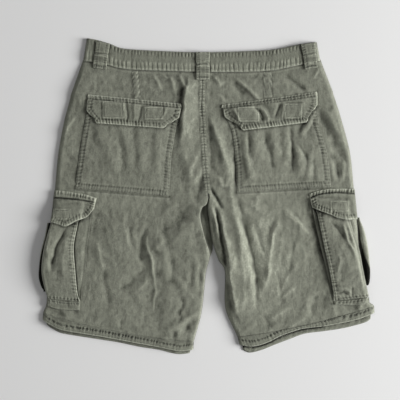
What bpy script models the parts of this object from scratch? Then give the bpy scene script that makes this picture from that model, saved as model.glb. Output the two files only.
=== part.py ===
"""Cotton cargo shorts laid flat on a table, back side up.

+X is to the right of someone who looks down at the shorts, +Y runs from the
hems to the waist and +Z is up. The front rests on the plane Z = 0 and the back
lies on it. Tables are in millimetres, the objects are in metres.
"""

import math

import bmesh
import bpy
import numpy as np
from mathutils import Vector
from mathutils.bvhtree import BVHTree

# Cloth and gaps, in millimetres
cloth = 1.2            # one layer of twill with its seam allowances
pocketCloth = 1.4      # patch pocket or cargo bag
doubled = 2.2          # turned hem: two layers and the folds inside
flapThick = 1.8        # flap: two layers, pressed
loopThick = 2.0        # belt loop or sewn foot: folded strip
frontLoopThick = 1.9   # the same, pressed flat by the garment's weight
bandThick = 2.3        # waistband: two layers and an interlining
seamGap = 0.3          # between pieces that are sewn together
seatGap = 0.4          # below a piece that is laid on others
seatReach = 6.0        # how far round a place the things below it are felt
backLift = 4.0         # underside of the back where it lies on the front
bandLift = 5.6         # underside of the back waistband
frontBandLift = 2.8    # underside of the front waistband, held up by its button
edgeRound = 9.0        # width of the rounding along the folded side and the inseam
edgeFloor = 0.5        # how high the rounded edge ends above the table
swell = 1.6            # how much the middle of the back stands up
felledWidth = 6.5      # half width of the felled centre back seam
felledRise = 0.7       # how far that seam stands out
waistRise = 28.0       # length over which the back rises to the waistband's height
bandRibs = 62          # gathers along the back waistband
ribRise = 0.7          # height of a gather
ribFade = 20           # the gathers end this far from the waistband's sides
bandCurl = 12          # width of the rounding at those sides

fabricColor = (0.205, 0.215, 0.168, 1.0)
trimColor = (0.175, 0.185, 0.145, 1.0)
buttonColor = (0.08, 0.075, 0.06, 1.0)

# Waistband: its upper and lower edge, from left to right
# Columns: xTop, yTop, xLow, yLow
waistTable = (
    (-229, 301, -236, 257),
    (-207, 297, -213, 254),
    (-184, 290, -190, 249),
    (-163, 282, -167, 243),
    (-137, 279, -139, 240),
    (-80, 276, -80, 238),
    (-8, 274, -8, 236),
    (72, 276, 74, 236),
    (124, 279, 125, 239),
    (152, 284, 156, 245),
    (180, 290, 184, 251),
    (209, 294, 216, 258),
)

# Centre back seam, from the waist to the crotch
# Columns: y, x
seamTable = ((240, -8), (172, -10), (123, -7), (64, -4), (0, 2), (-12, 3))

# Sections across each leg from the waist to the hem: the inner edge, the two
# sides of the back pocket (lower down, lines through the leg) and the outer edge
# Columns: cells, xIn, yIn, xPocketIn, xPocketOut, xOut, yOut, bow
leftSections = {
    "waist": (0, -8, 236, -49, -213, -236, 256, 6),
    "flapTop": (4, -10, 172, -49, -226, -258, 197, 0),
    "flapBase": (1, -9, 164, -49, -226, -260, 189, 0),
    "flapClip": (2, -8, 145, -53, -229, -266, 166, 0),
    "flapEnd": (1, -7, 123, -59, -233, -272, 143, 0),
    "pocketMid": (4, -4, 64, -68, -243, -283, 83, 0),
    "pocketEnd": (4, 2, -6, -72, -251, -289, 18, 0),
    "crotch": (1, -9, -22, -74, -241, -291, -5, 0),
    "thighTop": (1, -12, -41, -78, -230, -294, -28, 0),
    "thigh": (2, -2, -83, -84, -222, -300, -64, 2),
    "thighLow": (2, 6, -111, -84, -222, -305, -94, 4),
    "cargoMid": (2, -2, -147, -86, -224, -307, -128, 6),
    "cargoEnd": (3, -10, -219, -89, -236, -305, -197, 8),
    "hemTop": (3, -25, -276, -93, -241, -312, -221, 9),
}
rightSections = {
    "waist": (0, -8, 236, 28, 194, 216, 257, 6),
    "flapTop": (4, -9, 170, 28, 208, 238, 204, 2),
    "flapBase": (1, -8, 162, 30, 209, 240, 197, 2),
    "flapClip": (2, -7, 145, 34, 209, 246, 179, 2),
    "flapEnd": (1, -6, 117, 46, 211, 255, 150, 2),
    "pocketMid": (4, -3, 60, 53, 228, 272, 85, 0),
    "pocketEnd": (4, 3, 5, 56, 235, 279, 21, 0),
    "crotch": (1, 5, -20, 59, 232, 281, -1, 0),
    "thighTop": (1, -2, -48, 63, 218, 283, -28, 0),
    "thigh": (2, 9, -88, 72, 222, 287, -60, 2),
    "thighLow": (2, 25, -123, 82, 226, 289, -90, 2),
    "cargoMid": (2, 34, -144, 87, 230, 293, -119, 2),
    "cargoEnd": (3, 35, -212, 97, 239, 305, -191, 4),
    "hemTop": (3, 58, -267, 104, 241, 318, -208, 6),
}

# Lower edge of each hem, from the inseam to the outer side. The front's hem hangs
# a little lower and shows past the back's.
# Columns: x, y
hemTable = {
    ("left", "back"): (
        (-26, -291), (-51, -294), (-70, -291), (-89, -287), (-127, -280), (-165, -273),
        (-203, -266), (-241, -260), (-260, -257), (-279, -253), (-298, -244), (-313, -234),
    ),
    ("left", "front"): (
        (-33, -298), (-51, -300), (-70, -297), (-89, -292), (-127, -286), (-165, -278),
        (-203, -272), (-241, -266), (-260, -263), (-279, -259), (-298, -249), (-305, -243),
    ),
    ("right", "back"): (
        (62, -282), (82, -285), (101, -282), (120, -275), (139, -265), (158, -258),
        (177, -252), (196, -249), (224, -246), (262, -239), (291, -232), (319, -221),
    ),
    ("right", "front"): (
        (69, -292), (82, -297), (104, -292), (129, -282), (158, -271), (186, -261),
        (224, -256), (262, -250), (300, -240), (311, -233),
    ),
}

# Largest folds of the back: a line from start to end, how far it bows to its
# left, its half width and its height. A trough has a negative height.
# Columns: xStart, yStart, xEnd, yEnd, bow, width, height
foldTable = {
    "leftOfSeam": (-36, 222, -38, 88, 0, 15, 5),
    "leftOfSeamLow": (-34, 96, -16, -40, 2, 15, 4),
    "besideSeam": (-2, 176, 12, 8, 2, 8, -2.5),
    "rightOfSeam": (13, 165, 50, 14, 4, 11, 7),
    "downTheRightLeg": (45, 26, 68, -236, 8, 14, 7),
    "besideThatFold": (80, -60, 97, -246, -3, 12, -2.5),
    "rightInseam": (12, -10, 37, -138, 4, 9, 4),
    "rightThigh": (137, -26, 104, -196, -4, 12, 4),
    "rightHip": (206, 172, 262, 66, 6, 15, -2.5),
    "leftStep": (-110, -44, -106, -124, 5, 15, 6),
    "leftThigh": (-106, -118, -99, -250, 1, 11, 5),
    "leftSlant": (-108, -128, -180, -182, -4, 15, -2.5),
    "leftTrough": (-152, -30, -133, -114, 0, 13, -2),
    "leftInseam": (-14, -70, -32, -256, -4, 15, 4),
}

# Back pockets: how far each stands off the back in its middle
pocketPuff = {"left": 2.2, "right": 2.8}
flapClipWidth = 23     # how far the flap's corners are cut off
flapStand = (0.45, 0.9)    # how far it stands off the pocket at its seam and at its edge
gatherRise = 0.35      # height of the pocket's gathers
gathersAcross = 9

# Cargo pockets, from the flap down. The bag's two edges, and where its gusset is
# sewn to the leg.
# Columns: yIn, xIn, yOut, xOut, ySewn, xSewn, rise, edgeRise
bagTable = {
    "left": (
        (-10, -237, -16, -286, -10, -215, 1.5, 1.0),
        (-30, -240, -38, -291, -28, -218, 6.0, 2.5),
        (-60, -246, -66, -301, -58, -222, 9.0, 3.0),
        (-96, -252, -101, -310, -94, -227, 11.5, 3.5),
        (-140, -249, -140, -314, -136, -231, 12.0, 4.0),
        (-176, -246, -170, -309, -172, -237, 8.5, 3.5),
        (-199, -242, -193, -302, -195, -239, 4.0, 2.5),
    ),
    "right": (
        (-6, 204, -14, 270, -6, 196, 1.5, 1.0),
        (-26, 207, -36, 273, -22, 199, 6.0, 2.5),
        (-60, 214, -68, 282, -54, 205, 9.0, 3.0),
        (-96, 221, -101, 289, -92, 214, 11.5, 3.5),
        (-132, 229, -133, 295, -128, 223, 12.0, 4.0),
        (-168, 236, -163, 301, -164, 232, 8.5, 3.5),
        (-197, 241, -190, 307, -193, 238.5, 4.0, 2.5),
    ),
}
# Outer half of each cargo pocket, seen past the bag: its inner and outer edge
# Columns: y, xIn, xOut, height
rimTable = {
    "left": (
        (-58, -297, -302, 5.0),
        (-80, -305, -309.5, 7.0),
        (-105, -311, -316, 8.2),
        (-135, -315, -319.5, 8.2),
        (-155, -315, -320, 7.0),
        (-172, -311, -315, 5.0),
    ),
    "right": (
        (-47, 280, 292, 5.0),
        (-70, 288, 301, 7.0),
        (-95, 294, 306, 8.2),
        (-120, 300, 309, 8.2),
        (-143, 304, 310.5, 7.0),
        (-164, 304, 309, 5.0),
    ),
}
rimShares = np.array([0.25, 0.6, 0.95])    # the roll's section: shares of its width
rimHeights = np.array([0.8, 1.0, 0.7])     # and of its height
# Strip along the foot of each cargo pocket, where it is sewn down
# Columns: x, yTop, yLow
footTable = {
    "left": ((-241, -200.5, -216), (-262, -200, -216), (-284, -197, -214), (-304, -194, -208)),
    "right": ((240.5, -198.5, -205), (262, -197.5, -206), (286, -195, -205), (308, -191.5, -201)),
}
# Cargo flaps: upper edge, foot of the sewn strip, and lower edge
# Columns: xTop, yTop, xStrip, yStrip, xLow, yLow
cargoFlapTable = {
    "left": (
        (-209, -3, -211, -11, -214, -23),
        (-227, 3, -228, -8, -228, -39),
        (-247, 7, -248, -5, -246, -46),
        (-268, 10, -270, -3, -266, -56),
        (-282, 11.5, -283, -2, -282, -53),
        (-290, 12, -292, -2, -296, -48),
    ),
    "right": (
        (193, 5, 194, -2, 199, -21),
        (211, 11, 211, 4, 213, -27),
        (228, 14, 229, 7, 229, -33),
        (247, 15, 247, 8, 248, -41),
        (265, 15, 265, 7, 267, -44),
        (280, 15, 281, 6, 286, -43),
    ),
}

# Belt loops: middle of the upper and lower end, and the width there
# Columns: xTop, yTop, widthTop, xLow, yLow, widthLow
backLoopTable = {
    "left": (-197, 292, 26, -204, 242, 26),
    "centre": (-8, 274, 27, -8, 221, 25),
    "right": (191, 290, 27, 198, 243, 24),
}
frontLoopTable = {
    "left": (-118, 275, 24, -120, 222, 24),
    "right": (106, 275, 24, 108, 222, 24),
}

# Front: fly, button and the halves of the cargo pockets that lie underneath
flyTop = 232
flyWidth = 38
flyLength = 160
flyRound = 34          # length of the round at its foot
flyInset = 0.5         # from the centre seam
buttonRadius = 8.5
buttonThick = 2.4
buttonPlace = (-24, 256)
frontBandInset = 8     # the front waistband ends this far inside the back one
frontInset = 6.0       # the front ends this far inside the rounded edge
frontBandUp = 0.8      # the front waistband lies this far inside the back one
underThick = 1.4       # layer of the cargo pockets below the front
underInset = 10.0      # how far inside the leg's edge that layer ends
underPockets = (178, 42, -232)     # the front is lifted outside this x, below and above these y
underFly = (-82, 34, 44)           # and between these x, above this y
underLoops = 190                   # and above this y
underHalves = (("flap", 208, 10, -46), ("bag", 214, -46.4, -198))  # inner side, top, foot


def mm(points):
    """Millimetres to metres."""
    return np.asarray(points, float) * 0.001


def smoothstep(low, high, value):
    t = np.clip((value - low) / (high - low), 0, 1)
    return t * t * (3 - 2 * t)


def throughRows(rows, at):
    """A smooth curve through the rows of a table, at fractional row numbers."""
    rows, at = np.asarray(rows, float), np.asarray(at, float)
    last = len(rows) - 1
    first = np.clip(np.floor(at).astype(int), 0, last - 1)
    t = (at - first)[:, None]
    p1, p2 = rows[first], rows[first + 1]
    m1 = np.where((first > 0)[:, None], (p2 - rows[np.maximum(first - 1, 0)]) / 2, p2 - p1)
    after = rows[np.minimum(first + 2, last)]
    m2 = np.where((first + 2 <= last)[:, None], (after - p1) / 2, p2 - p1)
    h1, h2 = 2 * t**3 - 3 * t**2 + 1, t**3 - 2 * t**2 + t
    h3, h4 = -2 * t**3 + 3 * t**2, t**3 - t**2
    return h1 * p1 + h2 * m1 + h3 * p2 + h4 * m2


def seamX(y):
    """The centre back seam's place at a height on the garment."""
    ys, xs = zip(*reversed(seamTable))
    return np.interp(y, ys, xs)


def waistEdges(x):
    """The waistband's upper edge (x, y) and lower edge (x, y) at stations along its lower edge."""
    table = np.array(waistTable, float)
    shape = np.shape(x)
    at = np.interp(np.ravel(x), table[:, 2], np.arange(len(table)))
    return [column.reshape(shape) for column in throughRows(table, at).T]


def foldHeight(x, y):
    """How far the largest folds lift the back at a place."""
    total = np.zeros_like(x)
    for x0, y0, x1, y1, bow, width, height in foldTable.values():
        length = math.hypot(x1 - x0, y1 - y0)
        ux, uy = (x1 - x0) / length, (y1 - y0) / length
        t = ((x - x0) * ux + (y - y0) * uy) / length
        off = -(x - x0) * uy + (y - y0) * ux - bow * 4 * t * (1 - t)
        ends = smoothstep(0, 0.22, t) * smoothstep(0, 0.22, 1 - t)
        total += height * np.exp(-((off / width) ** 2)) * ends
    return total


def spacedColumns(xIn, xPocketIn, xPocketOut, xOut):
    """Places of the grid's columns along one section, as shares of its width."""
    width = abs(xOut - xIn)
    inner, outer = abs(xPocketIn - xIn), abs(xPocketOut - xIn)
    places = np.concatenate([
        [0, 2.5],
        np.linspace(felledWidth, inner, 7),
        np.linspace(inner, outer, 11)[1:],
        np.linspace(outer, width - 5, 4)[1:],
        [width - 1.5, width],
    ])
    return places / width


pocketColumns = slice(8, 19)


def legGrid(sections, side):
    """The back of one leg as a grid of points in plan, from the waist to the top of the hem."""
    table = np.array(list(sections.values()), float)
    at = [0.0]
    for number, row in enumerate(table[1:], 1):
        cells = int(row[0])
        at += [number - 1 + (k + 1) / cells for k in range(cells)]
    rows = throughRows(table[:, 1:], at)
    aboveCrotch = np.array(at) <= list(sections).index("pocketEnd")
    hand = -1 if side == "left" else 1
    grid = []
    for (xIn, yIn, xPocketIn, xPocketOut, xOut, yOut, bow), above in zip(rows, aboveCrotch):
        if above:
            xIn = seamX(yIn) + hand * seamGap * 0.7
        share = spacedColumns(xIn, xPocketIn, xPocketOut, xOut)
        x = xIn + (xOut - xIn) * share
        y = yIn + (yOut - yIn) * share - bow * 4 * share * (1 - share)
        grid.append(np.stack([x, y], axis=1))
    grid = np.array(grid)
    edges = waistEdges(grid[0, :, 0])
    grid[0, :, 1] = edges[3] - 2 * seamGap
    return grid, np.array(at), aboveCrotch


def legHeights(grid, aboveCrotch, side, fadeTop=True):
    """Height of the back's underside over the table at each point of its plan."""
    x, y = grid[..., 0], grid[..., 1]
    fromOut = np.linalg.norm(grid - grid[:, -1:], axis=2)
    fromIn = np.linalg.norm(grid - grid[:, :1], axis=2)
    curlOut = np.sqrt(1 - (1 - np.clip(fromOut / edgeRound, 0, 1)) ** 2)
    curlIn = np.sqrt(1 - (1 - np.clip(fromIn / edgeRound, 0, 1)) ** 2)
    curlIn = np.where(aboveCrotch[:, None], 1, curlIn)
    fade = smoothstep(2, 26, waistEdges(x)[3] - y) if fadeTop else 1.0
    full = smoothstep(0, 60, fromOut) * np.where(aboveCrotch[:, None], 1, smoothstep(0, 45, fromIn))
    toWaist = 1 - smoothstep(0, waistRise, waistEdges(x)[3] - y) if fadeTop else 0.0
    height = backLift + fade * (swell * full + foldHeight(x, y))
    height = np.maximum(height, backLift) + (bandLift - backLift) * toWaist
    return edgeFloor + (height - edgeFloor) * curlOut * curlIn


def normals(points):
    """Upward unit normals of a grid of points."""
    n = np.cross(np.gradient(points, axis=1), np.gradient(points, axis=0))
    n /= np.linalg.norm(n, axis=2, keepdims=True)
    return n * (1 if n[..., 2].sum() > 0 else -1)


def moved(points, distance, along=None):
    """A grid of points moved out along its normals."""
    along = normals(points) if along is None else along
    return points + along * np.asarray(distance, float).reshape(
        np.shape(distance) + (1,) * (3 - np.ndim(distance)))


def makeMaterial(name, color, roughness, metallic=0.0):
    material = bpy.data.materials.new(name)
    material.use_nodes = True
    shader = material.node_tree.nodes["Principled BSDF"]
    shader.inputs["Base Color"].default_value = color
    shader.inputs["Roughness"].default_value = roughness
    shader.inputs["Metallic"].default_value = metallic
    return material


def makeObject(name, bm, material, collection):
    """Closes a bmesh off as one named object in the garment's collection."""
    bmesh.ops.recalc_face_normals(bm, faces=bm.faces)
    if bm.calc_volume(signed=True) < 0:
        bmesh.ops.reverse_faces(bm, faces=bm.faces)
    mesh = bpy.data.meshes.new(name)
    bm.to_mesh(mesh)
    bm.free()
    mesh.materials.append(material)
    mesh.shade_smooth()
    mesh.set_sharp_from_angle(angle=math.radians(50))
    thing = bpy.data.objects.new(name, mesh)
    collection.objects.link(thing)
    return thing


def makeWall(name, inner, outer, material, collection):
    """A piece of cloth: a grid set on its inner points and extruded to its outer ones."""
    rows, columns = inner.shape[:2]
    bm = bmesh.new()
    place = bm.verts.layers.int.new("place")
    bmesh.ops.create_grid(bm, x_segments=columns - 1, y_segments=rows - 1, size=1)
    for vert in bm.verts:
        row = round((vert.co.y + 1) / 2 * (rows - 1))
        column = round((vert.co.x + 1) / 2 * (columns - 1))
        vert[place] = row * columns + column
    bmesh.ops.triangulate(bm, faces=bm.faces, quad_method="FIXED")
    first = set(bm.verts)
    bmesh.ops.extrude_face_region(bm, geom=bm.faces[:], use_keep_orig=True)
    low, high = mm(inner).reshape(-1, 3), mm(outer).reshape(-1, 3)
    for vert in bm.verts:
        vert.co = low[vert[place]] if vert in first else high[vert[place]]
    return makeObject(name, bm, material, collection)


class Pile:
    """What has been laid so far, to find how high it stands under a new piece."""

    def __init__(self):
        self.trees = []

    def add(self, thing):
        mesh = thing.data
        self.trees.append(BVHTree.FromPolygons(
            [v.co for v in mesh.vertices], [p.vertices[:] for p in mesh.polygons]))

    def top(self, x, y, reach):
        """The highest thing within reach of a place, in millimetres."""
        best = 0.0
        turns = np.linspace(0, 2 * math.pi, 13)[:12]
        around = [(0, 0)] + [(math.cos(a) * reach * k, math.sin(a) * reach * k)
                             for k in (0.35, 0.7, 1) for a in turns]
        for dx, dy in around:
            for tree in self.trees:
                hit = tree.ray_cast(Vector((*mm((x + dx, y + dy)), 0.2)), Vector((0, 0, -1)))[0]
                if hit is not None:
                    best = max(best, hit.z * 1000)
        return best

    def tops(self, plan, reach):
        return np.array([[self.top(x, y, reach) for x, y in row] for row in plan])


def withHeight(plan, height):
    return np.concatenate([plan, np.broadcast_to(height, plan.shape[:2])[..., None]], axis=2)


def makeBack(side, sections, material, collection, pile):
    """The back of one side of the shorts with its patch pocket and flap."""
    plan, at, above = legGrid(sections, side)
    names = list(sections)
    rowOf = {name: int(np.argmin(abs(at - number))) for number, name in enumerate(names)}
    inner = withHeight(plan, legHeights(plan, above, side))
    out = normals(inner)
    out[above, 0] = 0, 0, 1
    thickness = np.full(plan.shape[:2], cloth)
    thickness[above, :2] += felledRise
    outer = moved(inner, thickness, out)
    back = makeWall(f"back_{side}", inner, outer, material, collection)

    # Patch pocket: the points of the back that it covers, moved out
    rows = slice(rowOf["flapBase"], rowOf["pocketEnd"] + 1)
    part = outer[rows, pocketColumns]
    partOut = out[rows, pocketColumns]
    tall, wide = part.shape[:2]
    down = np.linspace(0, 1, tall)[:, None]
    across = np.linspace(0, 1, wide)[None, :]
    gathers = gatherRise * np.sin(across * math.pi * gathersAcross + down * 2) * np.sin(down * math.pi)
    puff = np.clip(np.sin(across * math.pi), 0, 1) ** 0.6 * (1 - down**3) * (
        pocketPuff[side] + gathers)
    puff[:, [0, -1]] = puff[-1] = 0
    pocketInner = moved(part, seamGap + puff, partOut)
    pocketOuter = moved(pocketInner, pocketCloth, partOut)
    pocket = makeWall(f"back_pocket_{side}", pocketInner, pocketOuter, material, collection)

    # Flap: sewn to the back along its strip, loose over the pocket below it
    first, clip, end = (rowOf[n] for n in ("flapTop", "flapClip", "flapEnd"))
    strip = moved(outer[first:first + 1, pocketColumns], seamGap,
                  out[first:first + 1, pocketColumns])
    count = end - rows.start + 1
    over = moved(pocketOuter[:count], np.linspace(*flapStand, count), partOut[:count])
    reach = np.linalg.norm(over[-1] - over[-1, :1], axis=1)
    fromEnd = np.minimum(reach, reach[-1] - reach)
    share = np.clip(fromEnd / flapClipWidth, 0.12, 1)[:, None]
    over[-1] = over[-2] + (over[-1] - over[-2]) * share
    flapInner = np.concatenate([strip, over])
    flapOut = normals(flapInner)
    flap = makeWall(f"back_flap_{side}", flapInner, moved(flapInner, flapThick, flapOut),
                    material, collection)
    for thing in (back, pocket, flap):
        pile.add(thing)
    return plan, above


def makeHem(side, layer, topEdge, material, collection):
    """The turned hem below a leg's last section, 0.3 mm from it."""
    stations = np.array(hemTable[side, layer], float)
    along = np.linalg.norm(np.diff(topEdge, axis=0), axis=1).cumsum()
    share = np.concatenate([[0], along]) / along[-1]
    at = np.interp(share, abs(stations[:, 0] - stations[0, 0]) / abs(np.ptp(stations[:, 0])),
                   np.arange(len(stations)))
    low = throughRows(stations, at)
    ways = (low - topEdge) / np.linalg.norm(low - topEdge, axis=1, keepdims=True)
    top = topEdge + ways * seamGap
    plan = np.stack([top + (low - top) * t for t in (0, 0.5, 1)])
    if layer == "front":
        inner = withHeight(plan, 0.0)
        outer = withHeight(plan, doubled)
    else:
        none = np.array([False] * len(plan))
        inner = withHeight(plan, legHeights(plan, none, side, fadeTop=False))
        outer = moved(inner, doubled)
    return makeWall(f"hem_{layer}_{side}", inner, outer, material, collection)


def underLift(x, y):
    """How far the front is lifted by what lies under it: pocket halves, fly and loops."""
    lift = np.zeros_like(x)
    side, top, foot = underPockets
    lift[(abs(x) > side) & (y < top) & (y > foot)] = underThick + seatGap
    left, right, foot = underFly
    lift[(x > left) & (x < right) & (y > foot)] = cloth + seatGap
    lift[y > underLoops] = frontLoopThick + seatGap
    return lift


def makeFront(side, sections, material, collection):
    """The front of one side, flat on the table, a little inside the back's edges."""
    plan, at, above = legGrid(sections, side)
    crotchRow = int(np.argmin(above))
    keepRows = [row for row in range(len(plan)) if row % 2 == 0 or row == crotchRow]
    rows = plan[keepRows]
    lines = []
    for row, over in zip(rows, above[keepRows]):
        length = np.linalg.norm(row[-1] - row[0])
        start = 0 if over else frontInset / length
        stop = 1 - frontInset / length
        share = np.linspace(start, stop, 11)
        along = np.linalg.norm(row - row[0], axis=1) / length
        lines.append(np.stack([np.interp(share, along, row[:, k]) for k in (0, 1)], axis=1))
    lines = np.array(lines)
    lines[0, :, 1] = waistEdges(lines[0, :, 0])[3] + frontBandUp - 3 * seamGap
    lift = underLift(lines[..., 0], lines[..., 1])
    inner = withHeight(lines, lift)
    outer = withHeight(lines, lift + cloth)
    makeWall(f"front_{side}", inner, outer, material, collection)
    return lines[-1]


def makeWaistbands(material, collection, pile):
    """The back waistband with its gathers, and the two plain halves in front."""
    left, right = waistTable[0][2], waistTable[-1][2]
    stations = np.linspace(left, right, bandRibs * 2 + 1)
    xTop, yTop, xLow, yLow = waistEdges(stations)
    down = np.array([0, 0.12, 0.5, 0.88, 1])
    plan = np.stack([np.stack([xTop + (xLow - xTop) * t, yTop + (yLow - yTop) * t], axis=1)
                     for t in down])
    ends = np.minimum(stations - left, right - stations)
    curl = np.sqrt(1 - (1 - np.clip(ends / bandCurl, 0, 1)) ** 2)
    inner = withHeight(plan, edgeFloor + (bandLift - edgeFloor) * curl)
    rib = np.where(np.arange(len(stations)) % 2 == 0, 0, ribRise)
    strength = np.array([0.5, 1, 0.5, 1, 0.7])[:, None] * np.clip(ends / ribFade, 0, 1)
    outer = inner + np.array([0, 0, 1.0]) * (bandThick + rib * strength)[..., None]
    pile.add(makeWall("waistband_back", inner, outer, material, collection))

    split = seamX(flyTop)
    halves = (("left", left + frontBandInset, split - seamGap),
              ("right", split + seamGap, right - frontBandInset))
    for side, low, high in halves:
        stations = np.linspace(low, high, 12)
        xTop, yTop, xLow, yLow = waistEdges(stations)
        plan = np.stack([np.stack([xTop, yTop - frontBandUp], axis=1),
                         np.stack([xLow, yLow + frontBandUp], axis=1)])
        inner = withHeight(plan, frontBandLift)
        outer = withHeight(plan, frontBandLift + bandThick)
        makeWall(f"waistband_front_{side}", inner, outer, material, collection)


def makeLoops(material, collection, pile):
    """Belt loops: three over the back waistband and two below the front one."""
    for name, (xTop, yTop, wTop, xLow, yLow, wLow) in backLoopTable.items():
        t = np.array([0, 0.1, 0.3, 0.5, 0.66, 0.8, 0.9, 1])[:, None]
        s = np.linspace(-0.5, 0.5, 4)[None, :]
        slant = (xLow - xTop) / (yTop - yLow)
        wide = wTop + (wLow - wTop) * t
        plan = np.stack([xTop + (xLow - xTop) * t + wide * s,
                         yTop + (yLow - yTop) * t + wide * s * slant], axis=2)
        inner = withHeight(plan, pile.tops(plan, seatReach) + seatGap)
        outer = inner + np.array([0, 0, loopThick])
        makeWall(f"belt_loop_back_{name}", inner, outer, material, collection)
    for name, (xTop, yTop, wTop, xLow, yLow, wLow) in frontLoopTable.items():
        t, s = np.array([0, 1])[:, None], np.linspace(-0.5, 0.5, 3)[None, :]
        wide = wTop + (wLow - wTop) * t
        plan = np.stack([xTop + (xLow - xTop) * t + wide * s,
                         yTop + (yLow - yTop) * t + 0 * s], axis=2)
        makeWall(f"belt_loop_front_{name}", withHeight(plan, 0.0), withHeight(plan, frontLoopThick),
                 material, collection)


def makeFly(material, buttonMaterial, collection):
    """The fly's placket, a flat outline with a round foot, and the waist button."""
    curve = bpy.data.curves.new("fly_placket", "CURVE")
    curve.dimensions = "2D"
    curve.fill_mode = "BOTH"
    curve.extrude = mm(cloth) / 2
    foot = flyTop - flyLength
    corner = [(seamX(foot) - flyInset - flyWidth * math.sin(a), foot + flyRound * (1 - math.cos(a)))
              for a in np.linspace(0, math.pi / 2, 8)]
    side = seamX(flyTop) - flyInset
    outline = [(side, flyTop)] + corner + [(side - flyWidth, flyTop)]
    spline = curve.splines.new("POLY")
    spline.points.add(len(outline) - 1)
    for point, (x, y) in zip(spline.points, outline):
        point.co = (*mm((x, y)), 0, 1)
    spline.use_cyclic_u = True
    placket = bpy.data.objects.new("fly_placket", curve)
    placket.location.z = mm(cloth) / 2
    curve.materials.append(material)
    collection.objects.link(placket)

    bm = bmesh.new()
    bmesh.ops.create_cone(bm, cap_ends=True, segments=24, radius1=mm(buttonRadius),
                          radius2=mm(buttonRadius), depth=mm(buttonThick))
    rims = [e for e in bm.edges if abs(e.verts[0].co.z - e.verts[1].co.z) < 1e-6]
    bmesh.ops.bevel(bm, geom=rims, offset=mm(0.5), segments=1, affect="EDGES", profile=0.5)
    button = makeObject("waist_button", bm, buttonMaterial, collection)
    button.location = (*mm(buttonPlace), mm(buttonThick) / 2)


def makeCargoPocket(side, legEdge, material, collection, pile):
    """The bellows pocket on the side of a leg, its gusset, foot and outer half."""
    hand = -1 if side == "left" else 1
    across = np.linspace(0, 1, 9)
    at = np.linspace(0, len(bagTable[side]) - 1, 15)
    rows = throughRows(bagTable[side], at)
    plan, heights = [], []
    for yIn, xIn, yOut, xOut, ySewn, xSewn, rise, edgeRise in rows:
        plan.append(np.stack([xIn + (xOut - xIn) * across, yIn + (yOut - yIn) * across], axis=1))
        crown = rise * (0.82 + 0.18 * np.sin(across * math.pi * 0.8))
        drop = smoothstep(0.72, 1.0, across)
        heights.append(7.0 + crown * (1 - drop) + edgeRise * drop)
    under = pile.tops(plan, seatReach) + seatGap
    under[:, 0] += cloth + 3 * seamGap
    inner = withHeight(np.array(plan), np.maximum(heights, under))
    bag = makeWall(f"cargo_bag_{side}", inner, moved(inner, pocketCloth), material, collection)

    # Gusset: from the leg up to the bag's inner edge, with a crease along its middle
    edge = inner[:, 0] + np.array([-hand * 3 * seamGap, 0, -seatGap])
    sewn = np.array([[xSewn, ySewn, pile.top(xSewn, ySewn, 5.0) + 0.5]
                     for _, _, _, _, ySewn, xSewn, _, _ in rows])
    shares = np.array([0, 0.35, 0.7, 1])[None, :, None]
    gusset = sewn[:, None] + (edge - sewn)[:, None] * shares
    gusset[..., 2] = np.maximum(gusset[..., 2], pile.tops(gusset[..., :2], seatReach) + seatGap)
    out = normals(gusset)
    gusset[:, -1] -= out[:, -1] * (cloth + seamGap)
    wall = makeWall(f"cargo_gusset_{side}", gusset, moved(gusset, cloth - 0.1, out),
                    material, collection)

    # Foot: the sewn strip below the bag
    table = throughRows(footTable[side], np.linspace(0, 3, 9))
    plan = np.stack([np.stack([table[:, 0], table[:, 1] + (table[:, 2] - table[:, 1]) * t], axis=1)
                     for t in (0, 0.5, 1)])
    legTop = pile.tops(plan, 4.0)
    inner = withHeight(plan, np.maximum(legTop, backLift - 1) + seatGap)
    foot = makeWall(f"cargo_foot_{side}", inner, inner + np.array([0, 0, loopThick]),
                    material, collection)

    # Outer half: from the leg's edge out along the table and up into a rolled edge
    rim = []
    for y, xIn, xOut, height in throughRows(rimTable[side], np.linspace(0, 5, 11)):
        edge = np.interp(y, legEdge[::-1, 1], abs(legEdge[::-1, 0]))
        inside = max(abs(xIn), edge + cloth + 1.6)
        width = max(abs(xOut) - inside, 3.6)
        x = [edge + cloth + 1.5 * seamGap, inside, *(inside + width * rimShares), inside + width]
        z = [1.9, 2.3, *(height * rimHeights), 1.3]
        rim.append(np.stack([hand * np.array(x), np.full(6, y), z], axis=1))
    rim = np.array(rim)
    makeWall(f"cargo_rim_{side}", moved(rim, -1.1), rim, material, collection)
    for thing in (bag, wall, foot):
        pile.add(thing)


def makeCargoFlap(side, material, collection, pile):
    """The flap over a cargo pocket, sewn to the leg along its upper strip."""
    rows = throughRows(cargoFlapTable[side], np.linspace(0, 5, 11))
    top, strip, low = rows[:, 0:2], rows[:, 2:4], rows[:, 4:6]
    plan = np.stack([top, (top + strip) / 2, strip] +
                    [strip + (low - strip) * t for t in (0.2, 0.4, 0.6, 0.8, 1)])
    stand = np.linspace(seatGap, 2 * seatGap, len(plan))[:, None]
    inner = withHeight(plan, np.maximum(pile.tops(plan, seatReach + 2), backLift - 1) + stand)
    flap = makeWall(f"cargo_flap_{side}", inner, inner + np.array([0, 0, flapThick]),
                    material, collection)
    pile.add(flap)


def makeUnderHalves(side, legEdge, material, collection):
    """The halves of a cargo pocket and flap that lie under the front, flat on the table."""
    hand = -1 if side == "left" else 1
    for name, inside, top, foot in underHalves:
        y = np.linspace(top, foot, 4)
        outside = np.interp(y, legEdge[::-1, 1], abs(legEdge[::-1, 0])) - underInset
        plan = np.stack([np.stack([hand * (inside + (outside - inside) * t), y], axis=1)
                         for t in (0, 0.5, 1)], axis=1)
        makeWall(f"cargo_{name}_front_{side}", withHeight(plan, 0.0), withHeight(plan, underThick),
                 material, collection)


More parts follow.
